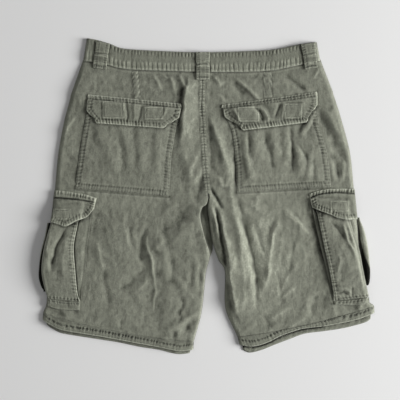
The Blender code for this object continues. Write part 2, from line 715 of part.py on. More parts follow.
def centre(collection):
    """Puts the origin below the middle of the whole garment."""
    bpy.context.view_layer.update()
    corners = np.array([thing.matrix_world @ Vector(corner)
                        for thing in collection.objects for corner in thing.bound_box])
    middle = (corners.min(axis=0) + corners.max(axis=0)) / 2
    for thing in collection.objects:
        thing.location.x -= middle[0]
        thing.location.y -= middle[1]


def main():
    for thing in list(bpy.data.objects):
        bpy.data.objects.remove(thing)
    collection = bpy.data.collections.new("cargo_shorts")
    bpy.context.scene.collection.children.link(collection)
    fabric = makeMaterial("washed_twill", fabricColor, 0.9)
    trim = makeMaterial("twill_trim", trimColor, 0.9)
    horn = makeMaterial("button", buttonColor, 0.45)
    pile = Pile()
    for side, sections in (("left", leftSections), ("right", rightSections)):
        plan, above = makeBack(side, sections, fabric, collection, pile)
        makeHem(side, "back", plan[-1], trim, collection)
        frontEdge = makeFront(side, sections, fabric, collection)
        makeHem(side, "front", frontEdge, trim, collection)
        makeCargoPocket(side, plan[:, -1], fabric, collection, pile)
        makeCargoFlap(side, trim, collection, pile)
        makeUnderHalves(side, plan[:, -1], fabric, collection)
    makeWaistbands(trim, collection, pile)
    makeLoops(trim, collection, pile)
    makeFly(fabric, horn, collection)
    centre(collection)


main()
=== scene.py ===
# Cotton cargo shorts laid flat on a white table, back side up.
# Sizes in the tables are millimetres; +X is right, +Y runs up to the waist, +Z is up.

import math

import bmesh
import bpy
import numpy as np
from mathutils import Matrix, Vector
from mathutils.bvhtree import BVHTree


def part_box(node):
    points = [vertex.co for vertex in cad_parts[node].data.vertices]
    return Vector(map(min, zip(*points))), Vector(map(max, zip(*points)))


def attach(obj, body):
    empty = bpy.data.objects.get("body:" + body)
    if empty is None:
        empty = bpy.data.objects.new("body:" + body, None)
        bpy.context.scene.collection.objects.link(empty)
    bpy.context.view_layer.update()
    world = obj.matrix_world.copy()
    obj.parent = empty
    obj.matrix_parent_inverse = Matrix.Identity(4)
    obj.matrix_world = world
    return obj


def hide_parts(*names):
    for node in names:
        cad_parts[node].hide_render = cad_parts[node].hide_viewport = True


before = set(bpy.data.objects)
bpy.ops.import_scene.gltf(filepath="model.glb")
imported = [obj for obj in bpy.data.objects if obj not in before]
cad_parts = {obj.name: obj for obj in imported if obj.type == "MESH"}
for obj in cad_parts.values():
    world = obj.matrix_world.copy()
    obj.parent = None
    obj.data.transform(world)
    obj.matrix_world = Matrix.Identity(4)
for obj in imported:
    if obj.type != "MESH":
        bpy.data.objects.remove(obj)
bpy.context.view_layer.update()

cloth = {
    "layer": 1.2,        # one layer of twill
    "pocket": 1.4,       # a pocket's turned cloth
    "double": 2.2,       # a hem
    "flap": 1.8,
    "loop": 2.0,
    "band": 2.3,         # waistband with its interlining
    "gap": 0.3,          # between two layers that lie on each other
    "air": 0.4,          # under a small piece sewn on top
    "cell": 2.1,         # spacing of the grid on the large panels
    "fineCell": 1.5,     # and on pockets, flaps and bands
}

lie = {
    "backLift": 4.0,     # underside of the back over the table
    "bandLift": 5.6,     # underside of the back waistband
    "loft": 2.4,         # how far the back stands off the front between its folds
    "swell": 1.6,        # more in the middle of a leg
    "edgeFloor": 0.5,    # where the rounded sides end
    "roundOut": 10,      # width of the rounding along the sides
    # width of the rounding towards the other leg: y, width
    "roundIn": {"left": ((-300, 3), (-110, 2.4), (-60, 1.6), (-8, 1.2), (10, 0.8)),
                "right": ((-300, 9), (-260, 9), (-200, 13), (-150, 9), (-110, 4), (-30, 2.4), (10, 1))},
    # and where it ends over what lies below: y, height
    "floorIn": {"left": ((-150, 0.5), (-125, 2.6), (10, 4.2)), "right": ((-300, 0.5), (10, 0.5))},
    "waistRise": 28,     # length over which the back rises to the waistband
}

# Outline of the waistband: xTop, yTop, xLow, yLow
waistTable = (
    (-229, 301, -236, 257),
    (-207, 297, -213, 254),
    (-184, 290, -190, 249),
    (-163, 282, -167, 243),
    (-137, 279, -139, 240),
    (-80, 276, -80, 238),
    (-8, 274, -8, 236),
    (72, 276, 74, 236),
    (124, 279, 125, 239),
    (152, 284, 156, 245),
    (180, 290, 184, 251),
    (209, 294, 216, 258),
)

# Centre back seam: y, x
seamTable = ((240, -8), (172, -10), (123, -7), (64, -4), (0, 2), (-12, 3))

# Sections across a leg: xIn, yIn, xPocketIn, xPocketOut, xOut, yOut, bow
legSections = {
    "left": {
        "waist": (-8, 236, -49, -213, -236, 256, 6),
        "flapTop": (-10, 172, -49, -226, -258, 197, 0),
        "flapBase": (-9, 164, -49, -226, -260, 189, 0),
        "flapClip": (-8, 145, -53, -229, -266, 166, 0),
        "flapEnd": (-7, 123, -59, -233, -272, 143, 0),
        "pocketMid": (-4, 64, -68, -243, -283, 83, 0),
        "pocketEnd": (2, -6, -72, -251, -289, 18, 0),
        "crotch": (-9, -22, -74, -241, -291, -5, 0),
        "thighTop": (-12, -41, -78, -230, -294, -28, 0),
        "thigh": (-2, -83, -84, -222, -300, -64, 2),
        "thighLow": (6, -111, -84, -222, -305, -94, 4),
        "cargoMid": (-2, -147, -86, -224, -307, -128, 6),
        "cargoEnd": (-10, -219, -89, -236, -305, -197, 8),
        "hemTop": (-25, -276, -93, -241, -312, -221, 9),
    },
    "right": {
        "waist": (-8, 236, 28, 194, 216, 257, 6),
        "flapTop": (-9, 170, 28, 208, 238, 204, 2),
        "flapBase": (-8, 162, 30, 209, 240, 197, 2),
        "flapClip": (-7, 145, 34, 209, 246, 179, 2),
        "flapEnd": (-6, 117, 46, 211, 255, 150, 2),
        "pocketMid": (-3, 60, 53, 228, 272, 85, 0),
        "pocketEnd": (3, 5, 56, 235, 279, 21, 0),
        "crotch": (1, -22, 59, 232, 281, -1, 0),
        "thighTop": (4, -45, 63, 218, 283, -28, 0),
        "thigh": (10, -86, 72, 222, 287, -60, 2),
        "thighLow": (22, -121, 82, 226, 289, -90, 2),
        "cargoMid": (34, -144, 87, 230, 293, -119, 2),
        "cargoEnd": (35, -212, 97, 239, 305, -191, 4),
        "hemTop": (58, -267, 104, 241, 318, -208, 6),
    },
}
sectionNames = list(legSections["left"])
crotchRow = sectionNames.index("pocketEnd")
lastRow = len(sectionNames) - 1
outward = {"left": -1, "right": 1}

# Lower edge of each hem from the inseam outwards: x, y
hemTable = {
    ("left", "back"): (
        (-26, -291), (-51, -294), (-70, -291), (-89, -287), (-127, -280), (-165, -273),
        (-203, -266), (-241, -260), (-260, -257), (-279, -253), (-298, -244), (-313, -234),
    ),
    ("left", "front"): (
        (-33, -298), (-51, -300), (-70, -297), (-89, -292), (-127, -286), (-165, -278),
        (-203, -272), (-241, -266), (-260, -263), (-279, -259), (-298, -249), (-305, -243),
    ),
    ("right", "back"): (
        (62, -282), (82, -285), (101, -282), (120, -275), (139, -265), (158, -258),
        (177, -252), (196, -249), (224, -246), (262, -239), (291, -232), (319, -221),
    ),
    ("right", "front"): (
        (69, -292), (82, -297), (104, -292), (129, -282), (158, -271), (186, -261),
        (224, -256), (262, -250), (300, -240), (311, -233),
    ),
}

# Folds of the back. Each is a line of points; going along it, the widths of its right
# and left flank and its height. Troughs have a negative height.
backFolds = {
    # the centre: a broad plateau left of the seam with a steep left side
    "plateau": (((-30, 237), (-36, 214), (-42, 195), (-44, 172), (-46, 149), (-48, 123),
                 (-49, 92)), 3.5, 24, 6.2),
    "plateauFoot": (((-44, 107), (-40, 77), (-32, 47), (-21, 16)), 7, 16, 2.5),
    "seamBeside": (((2, 161), (4, 123), (8, 85), (10, 35)), 3, 4, -1.5),
    "rightRidge": (((2, 161), (10, 138), (19, 113), (28, 86), (38, 58), (48, 29)), 7, 12, 5.2),
    "ridgeRunsOn": (((40, 54), (44, 24), (49, -12), (57, -48), (65, -85), (74, -121), (82, -159),
                     (89, -204), (91, -238)), 6, 4, 3.0),
    "valleyBeside": (((55, 12), (63, -20), (70, -52), (78, -83), (86, -111), (91, -143),
                      (95, -178), (99, -219)), 3.6, 8, -5.6),
    "pocketSide": (((51, 88), (53, 60), (57, 31), (53, 12)), 3, 3, -3),
    "smallVLeft": (((17, 43), (25, 29), (32, 16)), 3, 3, 1.8),
    "smallVRight": (((44, 41), (38, 29), (34, 16)), 3, 3, 1.6),
    "softVLeft": (((11, 62), (19, 45), (27, 35)), 5, 4, -1.2),
    "seamLeftOne": (((-13, 88), (-25, 62), (-38, 29)), 5, 4, 2.2),
    "seamLeftTwo": (((-6, 64), (-17, 39), (-30, 14)), 5, 4, 2.0),
    "seamLeftDark": (((-6, 47), (-15, 12), (-21, -18)), 7, 5, -2.6),
    # the crotch and the inner strip of the right leg
    "crotchFlap": (((5, 22), (12, 5), (24, -12), (32, -26)), 2.4, 2.4, -4.6),
    "innerStrip": (((7, -3), (10, -26), (16, -48), (22, -79), (28, -105), (32, -128)), 6, 6, 4.6),
    "stripGroove": (((14, -12), (20, -41), (26, -67), (31, -98), (36, -124), (36, -147)), 2.4, 2.4, -6.0),
    "stripRidge": (((25, -18), (28, -48), (34, -79), (40, -105)), 4, 9, 4.0),
    "innerFacet": (((55, -109), (48, -128), (40, -151), (32, -170)), 5, 7, 2.6),
    "innerSwell": (((28, -41), (34, -75), (40, -113), (44, -159), (53, -204), (68, -250)), 7, 44, 10.5),
    # the right leg
    "longCrease": (((139, -33), (133, -52), (125, -75), (120, -102), (117, -126), (115, -151),
                    (108, -178), (103, -197)), 4.5, 3.6, 3.4),
    "creaseShade": (((129, -29), (124, -52), (116, -79)), 5, 4, -1.4),
    "creaseMeets": (((89, -48), (95, -67), (101, -88), (108, -105), (116, -119)), 4, 4, -1.6),
    "creaseBeside": (((82, -45), (89, -75), (97, -102)), 5, 5, 1.4),
    "streakOne": (((86, -3), (87, -22)), 3, 3, 1.0),
    "streakTwo": (((97, 9), (95, -14), (93, -33)), 3.5, 3.5, 1.2),
    "thighHollow": (((104, 1), (116, -18), (127, -33)), 8, 6, -1.2),
    "pocketShade": (((188, 1), (196, -33), (205, -67), (215, -102), (222, -140)), 14, 7, -4.0),
    "outerSwell": (((169, -29), (179, -67), (184, -109), (184, -159)), 22, 16, 3.0),
    "thinRidge": (((51, -31), (59, -71), (65, -113), (70, -159), (70, -200), (66, -238)), 3, 3, 1.7),
    "hemSoft": (((104, -219), (114, -238), (124, -254)), 5, 5, -1.8),
    "fineOne": (((104, -29), (99, -52), (91, -75), (84, -98)), 3.4, 4, 0.8),
    "fineTwo": (((154, -41), (144, -71), (139, -105), (129, -140), (120, -166)), 4, 4, 0.9),
    "fineThree": (((171, -71), (162, -102), (158, -136), (146, -166)), 4, 3.6, -0.9),
    "fineFour": (((180, -117), (160, -142), (144, -170), (133, -197)), 4, 4, 0.9),
    "fineFive": (((120, -124), (135, -155), (142, -193), (146, -223)), 4, 4, -0.8),
    "lowStreak": (((133, -166), (135, -197)), 3, 3, 1.0),
    "thighEdge": (((139, -18), (158, -33), (179, -54), (200, -79)), 10, 4, 3.0),
    "diagonalOne": (((137, -197), (154, -181), (173, -170)), 5, 5, 1.6),
    "diagonalTwo": (((116, -238), (139, -223), (165, -208)), 6, 6, 1.8),
    "diagonalThree": (((142, -124), (162, -105), (177, -83)), 7, 7, 1.6),
    "diagonalFour": (((146, -254), (169, -238), (194, -229)), 5, 5, 1.6),
    "lowRidge": (((194, -178), (190, -204), (188, -235)), 7, 6, 1.7),
    "lowHollow": (((211, -178), (203, -204), (198, -235)), 8, 8, -2.0),
    "lowSplit": (((232, -181), (239, -208), (245, -238)), 6, 6, 1.6),
    "lowDimple": (((224, -185), (222, -219)), 8, 7, -1.4),
    "underPocket": (((253, -204), (276, -208), (291, -219)), 5, 5, -1.6),
    "footKnob": (((302, -197), (291, -204), (289, -219)), 4, 4, 2.0),
    # the right hip and yoke
    "hipBand": (((209, 180), (218, 149), (232, 124), (249, 94), (264, 69), (272, 50)), 9, 8, -4.4),
    "hipRidge": (((222, 176), (238, 145), (255, 111), (268, 85)), 7, 8, 2.6),
    "hipLow": (((236, 88), (245, 62), (251, 31)), 4.5, 4.5, -2.0),
    "hipLowRidge": (((232, 73), (239, 50), (245, 24)), 4, 4, 1.8),
    "hipStreak": (((260, 77), (258, 50), (256, 24)), 3, 3, 1.2),
    "hipTop": (((217, 248), (207, 233), (198, 218)), 3, 3, 1.4),
    "yokeSoft": (((142, 237), (158, 223), (175, 210), (192, 199)), 7, 8, -3.8),
    "yokeDiagonal": (((49, 231), (66, 214), (84, 197), (106, 178)), 2.6, 9, 3.8),
    "yokeUnder": (((48, 218), (61, 204), (76, 189)), 4, 4, -1.4),
    "yokeTuck": (((11, 233), (19, 221), (27, 206)), 3, 5, 2.8),
    "yokeStreak": (((19, 199), (28, 187), (40, 176)), 3, 3, 1.2),
    # the left yoke and hip
    "leftTuckOne": (((-106, 237), (-95, 218), (-84, 199)), 3.2, 3.2, 2.1),
    "leftTuckTwo": (((-86, 237), (-74, 221)), 2.5, 2.5, 1.6),
    "leftTuckThree": (((-74, 233), (-66, 212), (-57, 191)), 3.2, 3.6, 2.6),
    "leftTuckFour": (((-55, 237), (-48, 219), (-38, 200)), 3.2, 3.6, 2.7),
    "yokeHollow": (((-169, 231), (-171, 193)), 8, 8, -1.2),
    "leftHipCrease": (((-247, 157), (-260, 136), (-277, 109)), 6, 4, 1.8),
    "leftHipLow": (((-253, 88), (-264, 58), (-272, 28)), 8, 8, -1.6),
    "leftHipSwell": (((-211, 237), (-234, 199), (-249, 161)), 16, 14, 1.8),
    # the left leg
    "step": (((-110, -54), (-120, -71), (-125, -88), (-127, -105), (-124, -121), (-114, -136)), 7, 12, -3.8),
    "stepRidge": (((-104, -56), (-113, -77), (-114, -100), (-106, -117), (-101, -149),
                   (-97, -176), (-101, -202), (-101, -238)), 3.6, 3.6, 3.2),
    "sweep": (((-36, -10), (-40, -29), (-55, -50), (-78, -64), (-99, -75)), 14, 12, -3.4),
    "sweepCrest": (((-108, -50), (-87, -39), (-70, -24), (-61, -5)), 10, 8, 2.2),
    "sweepFoot": (((-6, -22), (-23, -43), (-40, -62), (-55, -79), (-70, -96)), 14, 14, 2.0),
    "lineValley": (((-99, -124), (-97, -159), (-99, -197), (-101, -246)), 34, 20, -4.6),
    "stepPatch": (((-104, -102), (-89, -90), (-74, -83)), 8, 8, 2.4),
    "footHollow": (((-308, -212), (-287, -219), (-264, -229)), 5, 5, -3.2),
    "footHollowTwo": (((-279, -200), (-253, -214), (-230, -221)), 6, 6, -1.6),
    "longSlant": (((-110, -128), (-127, -149), (-150, -166), (-177, -181)), 9, 10, -3.6),
    "slantCrest": (((-104, -151), (-124, -170), (-146, -189)), 12, 14, 2.6),
    "leftDark": (((-198, -124), (-194, -159), (-188, -193), (-184, -223)), 6, 5, -2.4),
    "leftLight": (((-211, -75), (-203, -113), (-196, -153)), 6, 5, 2.2),
    "splitOne": (((-152, -33), (-146, -64), (-139, -94), (-131, -124)), 6, 5, -2.2),
    "splitRidge": (((-163, -29), (-154, -67), (-146, -102)), 8, 8, 1.8),
    "wiggle": (((-48, -170), (-49, -189), (-44, -204), (-51, -219), (-49, -233), (-59, -244),
                (-66, -254)), 3.2, 3.2, -1.7),
    "innerDark": (((-30, -117), (-27, -147), (-32, -185)), 5, 5, -1.4),
    "innerLight": (((-23, -102), (-19, -132), (-21, -166)), 6, 6, 1.6),
    "innerDarkTwo": (((-11, -136), (-11, -166), (-17, -200)), 4, 5, -2.0),
    "innerEdge": (((-8, -67), (-2, -94), (-4, -124)), 8, 5, 2.4),
    "lowFold": (((-8, -231), (-21, -238), (-34, -248), (-44, -257)), 10, 11, -2.0),
    "lowFoldCrest": (((-4, -212), (-23, -223), (-44, -237), (-63, -248), (-82, -261)), 5, 6, 2.6),
    "pleatOne": (((-84, -280), (-76, -265)), 4, 4, 0.9),
    "pleatTwo": (((-70, -250), (-68, -280)), 4, 4, 0.9),
    "pleatThree": (((-55, -242), (-51, -276)), 4, 4, 1.2),
    "pleatDark": (((-61, -250), (-59, -278)), 3.5, 3.5, -0.7),
    "hemCreaseOne": (((-116, -219), (-120, -238), (-125, -254)), 3, 3, -0.9),
    "hemCreaseTwo": (((-209, -208), (-213, -238)), 4, 4, -0.7),
    "hemCreaseThree": (((-162, -231), (-163, -257)), 3, 3, -1.2),
    "thighSoft": (((-82, -90), (-74, -124), (-76, -166)), 9, 9, 1.6),
    "thighSoftDark": (((-66, -102), (-63, -140), (-68, -178)), 7, 7, -1.8),
    "outerHollow": (((-203, -18), (-211, -48), (-217, -83)), 9, 6, -2.0),
    "midSwell": (((-180, -29), (-173, -83), (-169, -124)), 14, 14, 2.0),
}

pocketFolds = {
    "left": {
        "bandHollow": (((-218, 153), (-215, 119), (-209, 85)), 6, 6, -1.6),
        "firstRidge": (((-216, 142), (-201, 117), (-188, 92), (-180, 66), (-177, 35)), 8, 9, 2.4),
        "middleHollow": (((-171, 130), (-162, 92), (-158, 58), (-162, 20)), 7, 8, -2.6),
        "middleRidge": (((-165, 145), (-150, 107), (-144, 73), (-146, 39)), 6, 7, 1.8),
        "darkLine": (((-139, 142), (-137, 104), (-135, 69), (-141, 31)), 6, 6, -1.6),
        "broadRidge": (((-122, 138), (-124, 88), (-127, 39)), 12, 12, 1.6),
        "softHollow": (((-106, 134), (-103, 88), (-108, 47)), 6, 6, -1.4),
        "bandRidge": (((-93, 134), (-91, 88), (-93, 31)), 6, 4, 1.4),
    },
    "right": {
        "bandHollow": (((78, 134), (80, 100), (82, 66)), 4.5, 5, -3.0),
        "bandRidge": (((68, 123), (74, 85), (80, 54), (91, 24)), 4, 4, 2.5),
        "firstRidge": (((89, 138), (93, 104), (101, 66)), 9, 8, 3.0),
        "firstHollow": (((106, 138), (114, 104), (122, 69), (131, 31)), 8, 7, -3.5),
        "secondRidge": (((122, 138), (129, 104), (139, 69)), 8, 8, 2.8),
        "secondHollow": (((137, 138), (141, 104), (142, 58)), 6, 6, -2.0),
        "thirdRidge": (((148, 142), (152, 107), (152, 73)), 6, 6, 2.0),
        "darkHollow": (((156, 142), (160, 107), (163, 73), (158, 35)), 6, 5, -4.5),
        "lastRidge": (((169, 104), (177, 73), (179, 31)), 7, 6, 3.2),
        "flapCrease": (((201, 164), (196, 145), (186, 126), (175, 109)), 3, 3, 3.8),
        "flapShade": (((194, 161), (184, 138), (171, 123)), 4, 4, -2.2),
        "slant": (((169, 104), (180, 86), (190, 69), (188, 50)), 3.2, 3.2, -3.2),
        "slantLight": (((196, 92), (194, 58), (192, 28)), 3.2, 3.2, 2.0),
        "sideHollow": (((203, 77), (205, 28)), 4, 4, -2.2),
    },
}

flapFolds = {
    "left": {
        "lineLight": (((-156, 185), (-156, 161), (-156, 138)), 1.6, 1.6, 1.4),
        "lineDark": (((-151, 185), (-151, 161), (-152, 138)), 1.6, 1.6, -1.9),
        "patchSide": (((-122, 178), (-125, 161), (-129, 138)), 2.2, 2, -1.8),
        "patchSideLight": (((-135, 180), (-137, 161), (-139, 140)), 2.5, 2.5, 1.1),
        "innerCrease": (((-76, 172), (-80, 157), (-86, 143)), 2.2, 2.2, 1.6),
        "outerCrease": (((-201, 181), (-200, 161)), 3, 3, -1.0),
    },
    "right": {
        "leftCrease": (((46, 172), (55, 155), (65, 140)), 2.4, 2.4, 2.1),
        "middleDark": (((86, 172), (97, 164), (104, 151), (104, 138)), 3, 2.6, -3.5),
        "middleLight": (((93, 174), (106, 164), (114, 151), (114, 138)), 3, 3, 2.6),
        "saddle": (((104, 180), (116, 164), (120, 145)), 7, 7, -2.6),
        "secondDark": (((141, 180), (133, 162), (127, 143)), 3, 3, -2.2),
        "secondLight": (((145, 183), (144, 164), (143, 145)), 1.8, 1.8, 1.6),
        "lastCrease": (((182, 187), (179, 168), (175, 149)), 3, 3, 1.3),
    },
}

bagFolds = {
    "left": {
        "valley": (((-253, -50), (-266, -62), (-278, -79), (-287, -100), (-292, -124),
                    (-293, -153)), 4.5, 4, -3.6),
        "lastRidge": (((-294, -56), (-300, -83), (-302, -113), (-302, -143)), 5, 5, 1.4),
        "broadRidge": (((-262, -71), (-268, -98), (-272, -124), (-270, -159)), 7, 8, 2.2),
        "lowDark": (((-283, -136), (-285, -166)), 5, 5, -1.4),
    },
    "right": {
        "mouthDark": (((232, -43), (245, -58), (255, -73), (264, -88)), 5, 4, -3.4),
        "lightCrease": (((255, -43), (258, -62), (266, -83), (276, -104), (285, -124)), 2.8, 2.8, 3.0),
        "creaseDark": (((262, -52), (268, -71), (276, -90)), 3, 3, -2.0),
        "outerRidge": (((272, -56), (277, -79), (283, -102)), 3, 3, 1.6),
        "wiggle": (((241, -100), (251, -115), (249, -132), (243, -147)), 3, 3, 1.6),
        "broadRidge": (((243, -75), (260, -109), (276, -151)), 7, 7, 1.4),
        "footArc": (((241, -180), (249, -174), (260, -174), (270, -181), (274, -193)), 2.4, 2.4, 1.6),
        "footDark": (((247, -187), (258, -180), (266, -189)), 3, 3, -1.6),
        "footDarkTwo": (((276, -170), (274, -191)), 2.4, 2.4, -1.6),
        "middleHollow": (((253, -136), (256, -166)), 5, 5, -1.4),
    },
}

# Cargo pockets from the flap down: yIn, xIn, yOut, xOut, ySewn, xSewn, rise, edgeRise
bagTable = {
    "left": (
        (-10, -237, -16, -286, -10, -215, 1.5, 1.0),
        (-30, -240, -38, -291, -28, -218, 6.0, 2.5),
        (-60, -246, -66, -301, -58, -222, 7.5, 2.0),
        (-96, -252, -101, -310, -94, -227, 9.0, 2.0),
        (-140, -249, -140, -314, -136, -231, 9.0, 2.0),
        (-176, -246, -170, -309, -172, -237, 7.0, 2.0),
        (-199, -242, -193, -302, -195, -239, 3.5, 2.0),
    ),
    "right": (
        (-6, 204, -14, 267, -6, 196, 1.5, 1.0),
        (-26, 207, -36, 269, -22, 199, 6.0, 2.5),
        (-60, 214, -68, 278, -54, 205, 9.0, 3.0),
        (-96, 221, -101, 289, -92, 214, 11.5, 3.5),
        (-132, 229, -133, 295, -128, 223, 12.0, 4.0),
        (-168, 236, -163, 301, -164, 232, 8.5, 3.5),
        (-197, 241, -190, 307, -193, 238.5, 4.0, 2.5),
    ),
}

# Outer half of each cargo pocket: y, xIn, xOut, height
rimTable = {
    "left": (
        (-50, -290, -294, 2.6),
        (-60, -298, -303, 4.0),
        (-80, -305, -309.5, 5.0),
        (-105, -311, -316, 5.6),
        (-135, -315, -319.5, 5.6),
        (-155, -315, -320, 5.0),
        (-172, -311, -315, 4.0),
        (-181, -305, -309, 2.6),
    ),
    "right": (
        (-40, 276, 286, 3.0),
        (-49, 280, 293, 5.0),
        (-70, 288, 301, 7.0),
        (-95, 294, 306, 8.2),
        (-120, 300, 309, 8.2),
        (-143, 304, 310.5, 7.0),
        (-162, 304, 309.5, 5.0),
        (-169, 303, 307, 3.2),
    ),
}

# Sewn foot of each cargo pocket: x, yTop, yLow
footTable = {
    "left": ((-241, -200.5, -216), (-262, -200, -216), (-284, -197, -214), (-304, -194, -208)),
    "right": ((240.5, -198.5, -205), (262, -197.5, -206), (286, -195, -205), (308, -191.5, -201)),
}

# Cargo flaps: xTop, yTop, xStrip, yStrip, xLow, yLow
cargoFlapTable = {
    "left": (
        (-209, -3, -211, -11, -214, -23),
        (-227, 3, -228, -8, -228, -39),
        (-247, 7, -248, -5, -246, -46),
        (-268, 10, -270, -3, -266, -56),
        (-282, 11.5, -283, -2, -282, -53),
        (-290, 12, -292, -2, -296, -48),
    ),
    "right": (
        (193, 5, 194, -2, 199, -21),
        (211, 11, 211, 4, 213, -27),
        (228, 14, 229, 7, 229, -33),
        (247, 15, 247, 8, 248, -41),
        (265, 15, 265, 7, 267, -44),
        (280, 15, 281, 6, 286, -43),
    ),
}

# Belt loops: xTop, yTop, widthTop, xLow, yLow, widthLow
backLoopTable = {
    "left": (-197, 292, 26, -204, 242, 26),
    "centre": (-8, 274, 27, -8, 221, 25),
    "right": (191, 290, 27, 198, 243, 24),
}
frontLoopTable = {
    "left": (-118, 275, 24, -120, 222, 24),
    "right": (106, 275, 24, 108, 222, 24),
}


# Curves, noise and folds


def smoothstep(low, high, value):
    t = np.clip((value - low) / (high - low), 0, 1)
    return t * t * (3 - 2 * t)


def smoothMax(value, floor, soft=0.7):
    return floor + soft * np.logaddexp(0, (value - floor) / soft)


def quarterRound(distance, radius):
    return np.sqrt(1 - (1 - np.clip(distance / radius, 0, 1)) ** 2)


def bell(value, at, width):  # 1 where the value meets at, falling off on both sides
    return np.exp(-(((value - at) / width) ** 2))


def throughRows(rows, at):  # smooth curve through a table's rows, at fractional row numbers
    rows, at = np.asarray(rows, float), np.asarray(at, float)
    last = len(rows) - 1
    first = np.clip(np.floor(at).astype(int), 0, last - 1)
    t = (at - first)[:, None]
    p1, p2 = rows[first], rows[first + 1]
    m1 = np.where((first > 0)[:, None], (p2 - rows[np.maximum(first - 1, 0)]) / 2, p2 - p1)
    after = rows[np.minimum(first + 2, last)]
    m2 = np.where((first + 2 <= last)[:, None], (after - p1) / 2, p2 - p1)
    return ((2 * t**3 - 3 * t**2 + 1) * p1 + (t**3 - 2 * t**2 + t) * m1
            + (3 * t**2 - 2 * t**3) * p2 + (t**3 - t**2) * m2)


def curveThrough(rows, count):  # that many points from a table's first row to its last
    return throughRows(rows, np.linspace(0, len(rows) - 1, count))


def alongLine(line):  # mm from its start to each of its points
    return np.concatenate([[0], np.linalg.norm(np.diff(line, axis=0), axis=1).cumsum()])


def planOf(x, y):  # a grid of places; a row or a column of either is repeated
    return np.stack(np.broadcast_arrays(x, y), axis=2)


def softNoise(x, y, size, seed):  # smooth random hills about as wide as size, from -1 to 1
    tiles = 89
    turns = np.random.default_rng(seed).uniform(0, 2 * math.pi, (tiles, tiles))
    gx, gy = np.broadcast_arrays(np.asarray(x, float) / size, np.asarray(y, float) / size)
    ix, iy = np.floor(gx).astype(int), np.floor(gy).astype(int)
    fx, fy = gx - ix, gy - iy
    wx, wy = fx**3 * (fx * (fx * 6 - 15) + 10), fy**3 * (fy * (fy * 6 - 15) + 10)

    def corner(dx, dy):
        turn = turns[(iy + dy) % tiles, (ix + dx) % tiles]
        return np.cos(turn) * (fx - dx) + np.sin(turn) * (fy - dy)

    low = corner(0, 0) * (1 - wx) + corner(1, 0) * wx
    high = corner(0, 1) * (1 - wx) + corner(1, 1) * wx
    return (low * (1 - wy) + high * wy) * 1.5


def nearestOn(points, x, y, smooth=True):  # mm along a line, and off it to its left
    line = np.array(points, float)
    if smooth:
        line = curveThrough(line, max(3, round(alongLine(line)[-1] / 5)))
    along = alongLine(line)
    best = np.full(x.shape, 1e9)
    run, off = np.zeros(x.shape), np.zeros(x.shape)
    for (x0, y0), (x1, y1), start, end in zip(line[:-1], line[1:], along[:-1], along[1:]):
        ux, uy = (x1 - x0) / (end - start), (y1 - y0) / (end - start)
        s = np.clip((x - x0) * ux + (y - y0) * uy, 0, end - start)
        side = -(x - x0) * uy + (y - y0) * ux
        gap = np.hypot(x - x0 - s * ux, y - y0 - s * uy)
        nearer = gap < best
        best = np.where(nearer, gap, best)
        run = np.where(nearer, start + s, run)
        off = np.where(nearer, np.sign(side) * gap, off)
    return run, off, along[-1]


foldForm = {
    "warp": 2.2,         # mm that noise moves a fold aside
    "warpSize": 23,
    "uneven": 0.25,      # how much its height varies
    "unevenSize": 31,
    "ends": 0.3,         # share of its length over which it rises at each end
    "crisp": 3.4,        # folds that are lower than this
    "soften": 1.3,       # are this much wider
}


def foldsAt(folds, x, y, seed=1):  # height that a table's folds give at each place
    total = np.zeros(np.shape(x))
    warpX = x + foldForm["warp"] * softNoise(x, y, foldForm["warpSize"], seed)
    warpY = y + foldForm["warp"] * softNoise(x, y, foldForm["warpSize"], seed + 1)
    uneven = 1 + foldForm["uneven"] * softNoise(x, y, foldForm["unevenSize"], seed + 2)
    for points, right, left, height in folds.values():
        reach = 4 * max(right, left)
        low, high = np.min(points, axis=0) - reach, np.max(points, axis=0) + reach
        near = (warpX > low[0]) & (warpX < high[0]) & (warpY > low[1]) & (warpY < high[1])
        if not near.any():
            continue
        run, off, length = nearestOn(points, warpX[near], warpY[near])
        share = run / length
        ends = smoothstep(0, foldForm["ends"], share) * smoothstep(0, foldForm["ends"], 1 - share)
        far = np.abs(off / np.where(off < 0, right, left))
        if abs(height) <= foldForm["crisp"]:
            far /= foldForm["soften"]
        shape = 0.4 * np.exp(-(far**1.9)) + 0.6 * np.exp(-far / 1.05)
        total[near] += height * ends * shape * uneven[near]
    return total


def crumple(x, y, seed):  # small uneven creases of washed cloth
    tall = 0.62          # they run longer up and down the leg
    a = softNoise(x, y * tall, 37, seed)
    b = softNoise(x + 3 * a, y * tall, 19, seed + 1)
    c = softNoise(x + 2 * b, y * tall + 2 * a, 10.5, seed + 2)
    d = softNoise(x, y, 5.5, seed + 3)
    ridges = 1 - np.abs(softNoise(x + 4 * b, y * 0.55 + 3 * a, 15, seed + 4)) * 2.2
    wide = 1 - np.abs(softNoise(0.8 * x + 0.5 * y + 9 * a, 0.45 * y - 0.2 * x, 31, seed + 5)) * 2.2
    slant = softNoise(0.4 * (x + y) + 2 * b, x - y + 3 * a, 12, seed + 6)
    return (0.8 * a + 0.45 * b + 0.34 * c + 0.16 * d + 0.3 * slant + 0.3 * np.clip(ridges, -0.4, 1)
            + 0.5 * np.clip(wide, -0.5, 1))


def seamRelief(along, off, rows, seed, pitch=6.2, rise=0.55, reach=3.2, groove=0.75):
    # puckers and grooves of topstitching: rows are the stitch lines' distances off an edge
    wobble = softNoise(along, off * 0.2, 13, seed)
    wave = np.cos(2 * math.pi * along / pitch + 3.2 * wobble + 0.2 * off) - 0.15
    strength = 1.15 + 1.1 * softNoise(along, off * 0.3, 19, seed + 1)
    total = np.zeros(np.shape(off))
    for row in rows:
        total += rise * strength * wave * bell(off, row, reach)
        total -= groove * bell(off, row, 0.9)
    return total


